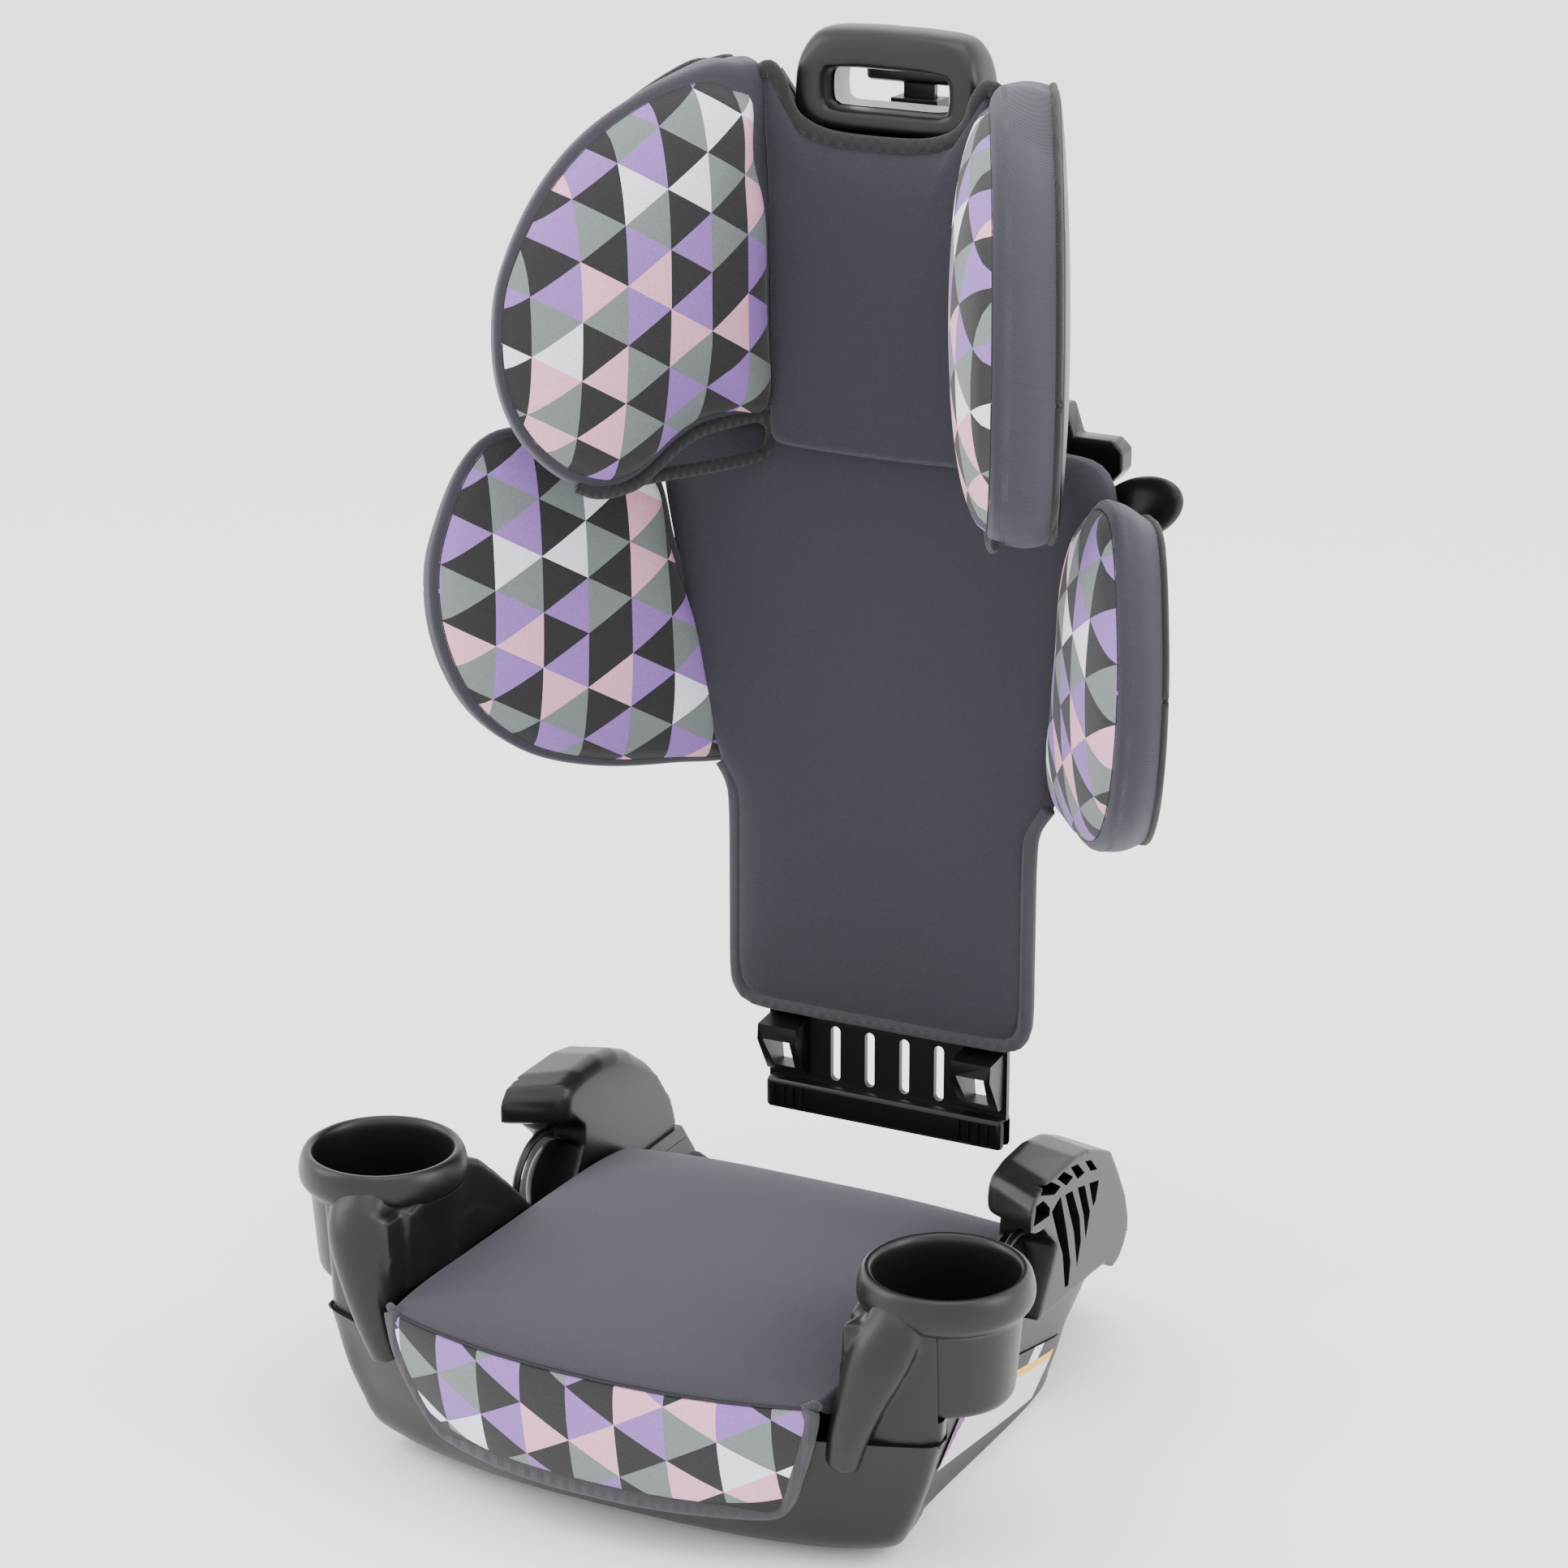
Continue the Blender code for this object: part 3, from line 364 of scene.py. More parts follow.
def plain_knit(name, colour):
    """One-colour ribbed knit."""
    made = Finish(name)
    knit = made.add("ShaderNodeGroup", node_tree=KNIT)
    knit.inputs["Colour"].default_value = (*colour, 1.0)
    made.link(knit.outputs["Colour"], made.shader.inputs["Base Color"])
    made.link(knit.outputs["Normal"], made.shader.inputs["Normal"])
    made.value("Roughness", 0.88)
    made.value("Specular IOR Level", 0.25)
    made.value("Sheen Weight", 0.22)
    made.value("Sheen Roughness", 0.45)
    made.value("Sheen Tint", (0.75, 0.74, 0.85, 1.0))
    return made.material


TRIANGLE_SIDE = 0.0345
PRINT_INKS = {"c": (0.018, 0.018, 0.019), "s": (0.145, 0.168, 0.168), "l": (0.240, 0.125, 0.410),
              "p": (0.700, 0.350, 0.460), "w": (0.720, 0.730, 0.840)}
PRINT_ORDER = "csplpcslsccplsccplsccwlscclws"
PRINT_STEPS = (8.0, 11.0, 3.0)


def printed_knit(name):
    """Knit printed with triangles, one edge upright, in five inks that repeat on a lattice."""
    made = Finish(name)
    tree = made.tree
    place = made.add("ShaderNodeUVMap", uv_map="cloth")
    split = made.add("ShaderNodeSeparateXYZ")
    made.link(place.outputs["UV"], split.inputs["Vector"])
    column = math_node(tree, "DIVIDE", split.outputs["X"], TRIANGLE_SIDE * math.sqrt(3) / 2)
    row = math_node(tree, "DIVIDE", split.outputs["Y"], TRIANGLE_SIDE)
    half = math_node(tree, "MULTIPLY", column, 0.5)
    total = 400.5
    for source, step in zip((column, math_node(tree, "SUBTRACT", row, half),
                             math_node(tree, "ADD", row, half)), PRINT_STEPS):
        cell = math_node(tree, "FLOOR", source)
        total = math_node(tree, "ADD", math_node(tree, "MULTIPLY", cell, step), total)
    pick = math_node(tree, "FRACT", math_node(tree, "DIVIDE", total, float(len(PRINT_ORDER))))
    ramp = made.add("ShaderNodeValToRGB")
    ramp.color_ramp.interpolation = "CONSTANT"
    stops = ramp.color_ramp.elements
    for i, ink in enumerate(PRINT_ORDER):
        stop = stops[i] if i < 2 else stops.new(i / len(PRINT_ORDER))
        stop.position = i / len(PRINT_ORDER)
        stop.color = (*PRINT_INKS[ink], 1.0)
    made.link(pick, ramp.inputs["Fac"])
    knit = made.add("ShaderNodeGroup", node_tree=KNIT)
    made.link(ramp.outputs["Color"], knit.inputs["Colour"])
    made.link(knit.outputs["Colour"], made.shader.inputs["Base Color"])
    made.link(knit.outputs["Normal"], made.shader.inputs["Normal"])
    made.value("Roughness", 0.85)
    made.value("Specular IOR Level", 0.25)
    made.value("Sheen Weight", 0.12)
    return made.material


def twill(name, colour):
    made = Finish(name)
    tape = made.add("ShaderNodeGroup", node_tree=TWILL)
    tape.inputs["Colour"].default_value = (*colour, 1.0)
    made.link(tape.outputs["Colour"], made.shader.inputs["Base Color"])
    made.link(tape.outputs["Normal"], made.shader.inputs["Normal"])
    made.value("Roughness", 0.8)
    made.value("Specular IOR Level", 0.3)
    made.value("Sheen Weight", 0.15)
    return made.material


PLASTIC = moulded("moulded_black", (0.0040, 0.0041, 0.0042), 0.36)
GLOSSY = moulded("moulded_black_gloss", (0.0050, 0.0050, 0.0052), 0.30, 0.00001)
NYLON = moulded("grey_nylon_bush", (0.23, 0.23, 0.24), 0.5)
STEEL = moulded("zinc_steel", (0.52, 0.53, 0.55), 0.32, 0.00001, 1.0)
PAPER = moulded("blank_label_paper", (0.62, 0.62, 0.61), 0.55, 0.00001)
AMBER = moulded("label_amber_band", (0.72, 0.42, 0.05), 0.55, 0.00001)
VIOLET = moulded("label_violet_corner", (0.20, 0.05, 0.22), 0.55, 0.00001)
GREY_KNIT = plain_knit("grey_ribbed_knit", (0.0270, 0.0255, 0.0335))
PRINT_KNIT = printed_knit("triangle_print_knit")
GREY_TAPE = twill("grey_twill_binding", (0.033, 0.032, 0.039))
BLACK_TAPE = twill("black_twill_binding", (0.010, 0.010, 0.011))
THREAD = moulded("dark_seam_thread", (0.016, 0.016, 0.018), 0.8)
# Pale grey for the inside of the handle's opening: a painted reflection of the bright surroundings on black
# plastic.
REFLECTION_PAINT = moulded("painted_reflection_grey", (0.50, 0.52, 0.53), 0.5, 0.00002)


# ---- padded pieces ----
def reach(outline, centre, angle):
    """Distance from centre to a closed outline along an angle."""
    ray = ray_at(angle)
    best = 0.0
    for a, b in zip(outline, outline[1:] + outline[:1]):
        p, q = a - centre, b - centre
        edge = q - p
        bottom = ray.x * edge.y - ray.y * edge.x
        if abs(bottom) < 1e-12:
            continue
        far = (p.x * edge.y - p.y * edge.x) / bottom
        share = (p.x * ray.y - p.y * ray.x) / bottom
        if -1e-9 <= share <= 1 + 1e-9 and far > best:
            best = far
    return best


def smooth_ring(outline, count=150):
    """Evenly spaced flat points on the closed curve through an outline."""
    return [Vector(p[:2]) for p in spline([(u, v, 0) for u, v in outline], count, closed=True)]


def ray_at(angle):
    return Vector((math.cos(angle), math.sin(angle)))


SEAM_OUT = 0.0010
FACE_SHARE, BAND_SHARE = 0.62, 0.72
MEAN_REACH = 0.12
BAND_BULGE = 0.0025


def pillow(outline, centre, lay, crown, edge, deep, fullness=(2.6, 0.6), border=None, around=144, rings=40):
    """A stuffed shape over an outline: a crowned face, a rolled edge and a band behind it.

    lay(u, v, out) puts a point in the room. border(angle) is the width of the plain margin
    round the printed area, and material 1 is the print."""
    outline = smooth_ring(outline)
    centre = Vector(centre)
    far = [reach(outline, centre, TAU * i / around) for i in range(around)]

    def radius(s):
        i = s * around
        low = int(i) % around
        return mix(far[low], far[(low + 1) % around], i - int(i))

    def shape(s, t):
        whole = radius(s)
        inner = max(1 - border(TAU * s) / whole, 0.0) if border else 1.0
        if t <= FACE_SHARE or not border and t <= BAND_SHARE:
            share = t / (FACE_SHARE if border else BAND_SHARE)
            rho = inner * share
            foot = SEAM_OUT if border else edge
            out = foot - (foot + crown) * max(1 - share ** fullness[0], 0.0) ** fullness[1]
        elif t <= BAND_SHARE:
            turn = (t - FACE_SHARE) / (BAND_SHARE - FACE_SHARE) * math.pi / 2
            rho = mix(inner, 1.0, math.sin(turn))
            out = mix(SEAM_OUT, edge, 1 - math.cos(turn))
        else:
            share = (t - BAND_SHARE) / (1 - BAND_SHARE)
            out = mix(edge, deep, share)
            rho = 1.0 + BAND_BULGE / whole * math.sin(math.pi * share)
        spot = centre + ray_at(TAU * s) * whole * rho
        return spot, out

    def place(s, t):
        spot, out = shape(s, t)
        return lay(spot.x, spot.y, out)

    def chart(s, t):
        spot, out = shape(s, t)
        if t > BAND_SHARE:
            return (TAU * s * MEAN_REACH, spot.y)
        return (spot.x, spot.y)

    def pick(s, t):
        return 1 if border and t < FACE_SHARE else 0

    return formed(around, rings, place, chart, pick)


HEAD_PLAN = (Vector((0.0670, 0.1655)), Vector((0.1540, -0.0145)), Vector((0.560, 1.100)), 0.0400,
             0.0100, 0.0070, 0.650)
LOW_PLAN = (Vector((0.1200, 0.1755)), Vector((0.2210, 0.0135)), Vector((0.451, 0.708)), 0.0385,
            0.0060, 0.0120, 0.445)
HEAD_OUTLINE = ((-0.0010, 0.7600), (0.0200, 0.7680), (0.0420, 0.7710), (0.0890, 0.7615), (0.1340, 0.7410),
                (0.1680, 0.7110), (0.1920, 0.6720), (0.1995, 0.6410), (0.1970, 0.6030), (0.1820, 0.5700),
                (0.1550, 0.5440), (0.1250, 0.5305), (0.1020, 0.5320), (0.0850, 0.5410), (0.0700, 0.5500),
                (0.0520, 0.5570), (0.0250, 0.5590), (-0.0010, 0.5590), (-0.0015, 0.6200), (-0.0015, 0.7000))
LOW_OUTLINE = ((0.0290, 0.5180), (0.0600, 0.5400), (0.1000, 0.5560), (0.1400, 0.5590), (0.1630, 0.5425),
               (0.1790, 0.5105), (0.1870, 0.4800), (0.1850, 0.4420), (0.1720, 0.4050), (0.1510, 0.3760),
               (0.1180, 0.3520), (0.0730, 0.3370), (0.0200, 0.3300), (-0.0300, 0.3290), (-0.0160, 0.3750),
               (0.0000, 0.4230), (0.0160, 0.4720))


def wing_lay(plan, sign):
    """Puts (u, z, out) of a wing in the room, with its side band leaning back at the tip."""
    root, tip, lean, deep, fall, close, middle = plan
    run = (tip - root).normalized()
    normal = Vector((-run.y, run.x))
    length = (tip - root).length

    def lay(u, z, out):
        back = normal.lerp(lean, min(max(u / length, 0.0), 1.0)) if out > 0 else normal
        p = root + run * u + back * out
        share = ease(max(out, 0.0) / deep) * min(max(u / length, 0.0) * 2.0, 1.0)
        return Vector((sign * p.x, p.y, z - share * (fall + close * (z - middle) / 0.12)))

    return lay


def wing_border(narrow, corner=0.0):
    """Plain margin round the print; the headrest's upper inner corner is plain too."""
    def border(angle):
        bump = math.exp(-((angle - math.radians(137)) / 0.30) ** 2) * corner
        return narrow + bump
    return border


WING_EDGE, WING_FULL = 0.0105, (2.4, 0.55)
WING_MARGIN = 0.0078
SKIN_PROUD, SKIN_CROWN, SKIN_WALL_SHARE = 0.0016, 0.0050, 0.4


def wing(prefix, outline, centre, plan, crown, body, side, sign, corner=0.0):
    """One wing: its stuffed cover with seam and piping, and the moulded skin behind it."""
    lay = wing_lay(plan, sign)
    deep = plan[3]
    border = wing_border(WING_MARGIN, corner)
    bm = pillow(outline, centre, lay, crown, WING_EDGE, deep - 0.003, WING_FULL, border)
    stands_for = [f"{prefix}_wing_pad_{side}", f"{prefix}_wing_foam_{side}"]
    soft = finish_mesh(f"{prefix}_wing_cover_{side}", bm, [GREY_KNIT, PRINT_KNIT], body, stands_for,
                       smooth=75)
    ring = smooth_ring(outline)
    mid = Vector(centre)
    seam, piping, shell = [], [], []
    for i in range(180):
        angle = TAU * i / 180
        whole = reach(ring, mid, angle)
        ray = ray_at(angle)
        rho = 1 - border(angle) / whole
        spot = mid + ray * whole * rho
        seam.append(lay(spot.x, spot.y, SEAM_OUT - 0.0002))
        spot = mid + ray * (whole - 0.0004)
        piping.append(lay(spot.x, spot.y, deep - 0.0020))
        shell.append(mid + ray * (whole - 0.0022))
    for part, path, radius, sides, finish in (("seam", seam, 0.00055, 6, THREAD),
                                              ("piping", piping, 0.0024, 10, BLACK_TAPE)):
        line = tube_along(path, radius, sides, True)
        finish_mesh(f"{prefix}_wing_{part}_{side}", line, [finish], body, smooth=0)

    def place(s, t):
        i = s * len(shell)
        a, b = shell[int(i) % len(shell)], shell[(int(i) + 1) % len(shell)]
        spot = a.lerp(b, i - int(i))
        if t < SKIN_WALL_SHARE:
            return lay(spot.x, spot.y, mix(deep - 0.004, deep + SKIN_PROUD, t / SKIN_WALL_SHARE))
        rho = 1 - (t - SKIN_WALL_SHARE) / (1 - SKIN_WALL_SHARE)
        spot = mid + (spot - mid) * rho
        return lay(spot.x, spot.y, deep + SKIN_PROUD + SKIN_CROWN * (1 - rho ** 3))

    bm = formed(144, 24, place)
    finish_mesh(f"{prefix}_wing_back_{side}", bm, [PLASTIC], body, f"{prefix}_wing_skin_{side}", smooth=50)
    return soft


NOTCH_TAPE = (
    (0.1420, 0.5360, 0.006), (0.1250, 0.5300, 0.004), (0.1020, 0.5315, 0.003), (0.0850, 0.5405, 0.003),
    (0.0700, 0.5498, 0.003), (0.0520, 0.5565, 0.003), (0.0250, 0.5585, 0.003), (0.0080, 0.5580, 0.003),
    (-0.0010, 0.5480, 0.004), (0.0030, 0.5350, 0.006), (0.0250, 0.5315, 0.009), (0.0600, 0.5310, 0.012),
    (0.0950, 0.5310, 0.014))


def notch_binding(side, sign):
    """Black tape round the slot that the shoulder belt is passed through."""
    lay = wing_lay(HEAD_PLAN, sign)
    path = spline([lay(u, z, out) for u, z, out in NOTCH_TAPE], 150)
    bm = tube_along(path, 0.0042, 12, flat=0.7, normal=Vector((sign * 0.9, 0.435, 0)))
    finish_mesh(f"belt_notch_binding_{side}", bm, [BLACK_TAPE], "headrest", smooth=0)


for side, sign in SIDES:
    notch_binding(side, sign)
    wing("head", HEAD_OUTLINE, (0.098, 0.655), HEAD_PLAN, 0.0210, "headrest", side, sign, corner=0.018)
    wing("lower", LOW_OUTLINE, (0.085, 0.445), LOW_PLAN, 0.0170, "back", side, sign)


# ---- back and headrest pads ----
BACK_HALF = ((0.0000, 0.1800), (0.0500, 0.1800), (0.0850, 0.1812), (0.0950, 0.1880), (0.0978, 0.2000),
             (0.0978, 0.2500), (0.0975, 0.3000), (0.0995, 0.3180), (0.1080, 0.3320), (0.1190, 0.3750),
             (0.1280, 0.4230), (0.1370, 0.4700), (0.1440, 0.5080), (0.1450, 0.5300), (0.1380, 0.5440),
             (0.1200, 0.5500), (0.0500, 0.5520), (0.0000, 0.5520))


def whole_outline(half):
    return list(half) + [(-u, v) for u, v in reversed(half) if u > 0]


def back_lay(u, v, out):
    """The back pad curves forward a little where it meets the lower wings."""
    hollow = 0.0060 * ease((abs(u) - 0.085) / 0.05) * ease((v - 0.32) / 0.06)
    return Vector((u, 0.1700 + out - hollow * (1 if out < 0.010 else 0), v))


def grey_pad(name, body, half, centre, lay, crown, edge, deep, fullness, around, rings):
    """A plain grey pad over a mirrored outline, standing for its cover and foam."""
    bm = pillow(whole_outline(half), centre, lay, crown, edge, deep, fullness, around=around, rings=rings)
    pad = finish_mesh(name + "_cover", bm, [GREY_KNIT], body, [name, name.replace("pad", "foam")],
                      smooth=75)
    return pad


def hem_tape(name, body, half, y, count, radius, flat, tape):
    """Binding along a mirrored line of (x, z) points, from one side through the middle."""
    hem = [Vector((u, y, v)) for u, v in list(half) + [(-u, v) for u, v in reversed(half[:-1])]]
    bm = tube_along(spline(hem, count), radius, 14, flat=flat, normal=Vector((0, 1, 0)))
    return finish_mesh(name, bm, [tape], body, smooth=0)


BACK_HEM = ((0.1100, 0.3360), (0.1010, 0.3210), (0.0984, 0.3000), (0.0982, 0.2400), (0.0980, 0.2000),
            (0.0950, 0.1870), (0.0850, 0.1806), (0.0500, 0.1795), (0.0, 0.1795))
grey_pad("back_pad", "back", BACK_HALF, (0.0, 0.360), back_lay, 0.0045, 0.0060, 0.0150, (7.0, 0.5), 220, 48)
hem_tape("back_pad_binding", "back", BACK_HEM, 0.1752, 160, 0.0052, 0.85, GREY_TAPE)

HEAD_HALF = ((0.0000, 0.5400), (0.0400, 0.5405), (0.0640, 0.5420), (0.0700, 0.5500), (0.0700, 0.6200),
             (0.0715, 0.7000), (0.0745, 0.7560), (0.0700, 0.7640), (0.0640, 0.7590), (0.0590, 0.7450),
             (0.0500, 0.7330), (0.0300, 0.7265), (0.0000, 0.7250))


def head_lay(u, v, out):
    return Vector((u, 0.1600 + out, v))


SCOOP_HEM = ((0.0745, 0.7620), (0.0690, 0.7640), (0.0630, 0.7560), (0.0585, 0.7430), (0.0490, 0.7330),
             (0.0300, 0.7268), (0.0, 0.7255))
grey_pad("headrest_pad", "headrest", HEAD_HALF, (0.0, 0.625), head_lay, 0.0040, 0.0065, 0.0160, (6.0, 0.5),
         200, 44)
hem_tape("headrest_scoop_binding", "headrest", SCOOP_HEM, 0.1640, 140, 0.0050, 0.8, BLACK_TAPE)


# ---- carry handle ----
HANDLE_HALF = ((0.0000, 0.7290), (0.0450, 0.7290), (0.0580, 0.7300), (0.0602, 0.7400), (0.0596, 0.7550),
               (0.0580, 0.7670), (0.0535, 0.7790), (0.0440, 0.7868), (0.0200, 0.7890), (0.0000, 0.7892))
OPENING_HALF = ((0.0000, 0.7430), (0.0300, 0.7430), (0.0370, 0.7450), (0.0385, 0.7545), (0.0370, 0.7635),
                (0.0300, 0.7655), (0.0000, 0.7655))
HANDLE_MID, HANDLE_DEEP = 0.1885, 0.0175
HANDLE_CENTRE, HANDLE_COUNT = Vector((0.0, 0.7540)), 160


def handle_ring(half):
    ring = smooth_ring(whole_outline(half), 200)
    angles = [TAU * i / HANDLE_COUNT for i in range(HANDLE_COUNT)]
    return [HANDLE_CENTRE + ray_at(a) * reach(ring, HANDLE_CENTRE, a) for a in angles]


outer_ring, inner_ring = handle_ring(HANDLE_HALF), handle_ring(OPENING_HALF)


def boxy(value, power=0.45):
    return math.copysign(abs(value) ** power, value)


def handle_place(s, t):
    """The loop's section is a rounded box between the opening and the outside."""
    i = int(s * HANDLE_COUNT + 1e-6) % HANDLE_COUNT
    a = TAU * t
    share = 0.5 + 0.5 * boxy(math.cos(a), 0.55)
    spot = inner_ring[i].lerp(outer_ring[i], share)
    y = HANDLE_MID - HANDLE_DEEP * boxy(math.sin(a), 0.60)
    crest = ease((spot.y - 0.762) / 0.028) * 0.0045 if math.sin(a) > 0 else 0.0
    return Vector((spot.x, y + crest, spot.y))


bm = formed(HANDLE_COUNT, 40, handle_place, lambda s, t: (s * 0.4, t * 0.08))
finish_mesh("handle_loop", bm, [PLASTIC], "headrest", "carry_handle", smooth=60)


def reflection_strip_place(s, t):
    """A pale strip just inside the opening: a painted reflection of the bright surroundings glancing off the
    black plastic.
    """
    i = int(s * HANDLE_COUNT + 1e-6) % HANDLE_COUNT
    spot = HANDLE_CENTRE + (inner_ring[i] - HANDLE_CENTRE) * 0.985
    inner = HANDLE_CENTRE + (inner_ring[i] - HANDLE_CENTRE) * 0.955
    a = TAU * t
    q = spot.lerp(inner, 0.5 + 0.5 * boxy(math.cos(a)))
    return Vector((q.x, HANDLE_MID + 0.0050 + 0.0100 * boxy(math.sin(a)), q.y))


# Painted reflection strip inside the handle's opening, in pale grey.
finish_mesh("handle_painted_reflection", formed(HANDLE_COUNT, 12, reflection_strip_place), [REFLECTION_PAINT], "headrest", smooth=60)


# ---- seat cover ----
# rear to front and down the apron: centre (y, z), half width, edge (y, z), edge roll
SEAT_ROWS = (
    (0.1180, 0.0790, 0.1340, 0.1180, 0.0790, 0.0), (0.1150, 0.0850, 0.1342, 0.1160, 0.0850, 0.5),
    (0.1050, 0.0950, 0.1345, 0.1080, 0.0925, 1.0), (0.0920, 0.1060, 0.1348, 0.0960, 0.0990, 1.0),
    (0.0700, 0.1160, 0.1350, 0.0740, 0.1030, 1.0), (0.0400, 0.1208, 0.1352, 0.0420, 0.1055, 1.0),
    (0.0000, 0.1214, 0.1355, 0.0000, 0.1065, 1.0), (-0.0500, 0.1208, 0.1360, -0.0480, 0.1070, 1.0),
    (-0.1000, 0.1195, 0.1365, -0.0950, 0.1075, 1.0), (-0.1450, 0.1170, 0.1370, -0.1350, 0.1080, 0.9),
    (-0.1800, 0.1135, 0.1360, -0.1620, 0.1080, 0.6), (-0.1970, 0.1100, 0.1345, -0.1760, 0.1078, 0.2),
    (-0.2040, 0.1065, 0.1330, -0.1815, 0.1065, 0.0), (-0.2060, 0.0980, 0.1322, -0.1835, 0.0980, 0.0),
    (-0.2055, 0.0820, 0.1285, -0.1830, 0.0820, 0.0), (-0.2025, 0.0620, 0.1215, -0.1800, 0.0620, 0.0),
    (-0.1985, 0.0430, 0.1135, -0.1750, 0.0430, 0.0), (-0.1940, 0.0330, 0.1080, -0.1700, 0.0330, 0.0))
SEAT_LAST = len(SEAT_ROWS) - 1
SEAM_ROW = 12 / SEAT_LAST
TOP_SHARE = 0.955


def seat_point(s, t):
    """Row share t by design row, side share s from -1 to 1."""
    k = t * SEAT_LAST
    i = min(int(k), SEAT_LAST - 1)
    rows = [SEAT_ROWS[min(max(i + d, 0), SEAT_LAST)] for d in (-1, 0, 1, 2)]
    yc, zc, half, ye, ze, roll = (blended(*column, k - i) for column in zip(*rows))
    side = min(abs(s) / TOP_SHARE, 1.0)
    over = max(abs(s) - TOP_SHARE, 0.0) / (1 - TOP_SHARE)
    x = math.copysign(half * side - 0.0015 * (1 - math.cos(over * math.pi / 2)), s) if abs(s) > 0 else 0.0
    y = mix(yc, ye, side ** 2.3)
    z = mix(zc, ze, side ** 3.2) - math.sin(over * math.pi / 2) * roll * (ze - 0.0870)
    if t > SEAM_ROW:
        y += over * 0.006
    return Vector((x, y, z))


def seat_place(s, t):
    p = seat_point(2 * s - 1, t)
    dip = math.exp(-((t - SEAM_ROW) / 0.006) ** 2) * 0.0010
    return p + Vector((0, dip, -dip))


def seat_chart(s, t):
    p = seat_point(2 * s - 1, t)
    return (p.x + 0.007, p.z + 0.004) if t > SEAM_ROW - 0.002 else (p.x, p.y)


bm = formed(150, 204, seat_place, seat_chart, lambda s, t: 1 if t > SEAM_ROW else 0)
cover = finish_mesh("seat_cover_cloth", bm, [GREY_KNIT, PRINT_KNIT], "base", ["seat_cover", "seat_foam"],
                    smooth=75)
seam = [seat_point(i / 40 - 1, SEAM_ROW) + Vector((0, -0.0002, 0.0002)) for i in range(2, 79)]
finish_mesh("seat_front_seam", tube_along(seam, 0.0007, 6), [THREAD], "base", smooth=0)
hem = [seat_point(-0.975, t) for t in (0.66, 0.69, SEAM_ROW, 0.76, 0.82, 0.88, 0.935)]
hem = [p + Vector((0.0005, -0.0010, 0)) for p in hem]
low = [seat_point(s, 0.985) + Vector((0, -0.0005, 0)) for s in (-0.9, -0.6, -0.3, 0.0, 0.3, 0.6, 0.9)]
right = [Vector((-p.x, p.y, p.z)) for p in reversed(hem)]
bm = tube_along(spline(hem + low + right, 260), 0.0058, 14, flat=0.5, normal=Vector((0, 1, 0)))
finish_mesh("seat_cover_binding", bm, [GREY_TAPE], "base", smooth=0)


# ---- soft-edged mouldings ----
def applied(piece):
    """Makes a piece's modifiers part of its mesh."""
    graph = bpy.context.evaluated_depsgraph_get()
    mesh = bpy.data.meshes.new_from_object(piece.evaluated_get(graph))
    piece.modifiers.clear()
    piece.data = mesh
    mesh.shade_smooth()
    return piece


def fused(name, bm, body, nodes, voxel, rounds, finish):
    """Overlapping solids fused on a fine grid and relaxed, so that their corners flow together."""
    piece = finish_mesh(name, bm, [finish], body, nodes, smooth=0)
    grid = piece.modifiers.new("grid", "REMESH")
    grid.mode = "VOXEL"
    grid.voxel_size = voxel
    relax = piece.modifiers.new("relax", "SMOOTH")
    relax.factor = 0.5
    relax.iterations = rounds
    return applied(piece)


def carve(piece, cutters, edge=35):
    """Cuts bmesh solids out of a finished piece."""
    for bm in cutters:
        bmesh.ops.recalc_face_normals(bm, faces=bm.faces)
        mesh = bpy.data.meshes.new("cutter")
        bm.to_mesh(mesh)
        bm.free()
        tool = bpy.data.objects.new("cutter", mesh)
        bpy.context.scene.collection.objects.link(tool)
        cut = piece.modifiers.new("carve", "BOOLEAN")
        cut.operation = "DIFFERENCE"
        cut.solver = "EXACT"
        cut.object = tool
        applied(piece)
        bpy.data.objects.remove(tool)
    piece.data.set_sharp_from_angle(angle=math.radians(edge))
    return piece


def stacked(rings, into=None):
    """A solid that starts as a flat ring and is extruded through the others, point by point."""
    bm = into or bmesh.new()
    first = face = bm.faces.new([bm.verts.new(p) for p in rings[0]])
    for ring in rings[1:]:
        made = bmesh.ops.extrude_face_region(bm, geom=[face])["geom"]
        if face is not first:
            bmesh.ops.delete(bm, geom=[face], context="FACES_ONLY")
        face = next(g for g in made if isinstance(g, bmesh.types.BMFace))
        for v, p in zip(face.verts, ring):
            v.co = p
    return bm


def slab(points, low, high, sign=1, into=None):
    """A solid: a (y, z) outline between two places along X."""
    return stacked([[Vector((sign * x, y, z)) for y, z in points] for x in (low, high)], into)


def finger(path, widths, into, sides=20, count=24):
    """A closed oval rod along a path; widths gives its half sizes along X and square to it."""
    rings, across = [], Vector((1, 0, 0))
    points = spline(path, count)
    sizes = spline([(a, b, 0) for a, b in widths], count)
    for i, p in enumerate(points):
        run = (points[min(i + 1, count - 1)] - points[max(i - 1, 0)]).normalized()
        side = (across - run * across.dot(run)).normalized()
        up = run.cross(side)
        turns = [TAU * k / sides for k in range(sides)]
        rings.append([p + side * math.cos(a) * sizes[i].x + up * math.sin(a) * sizes[i].y for a in turns])
    return stacked(rings, into)


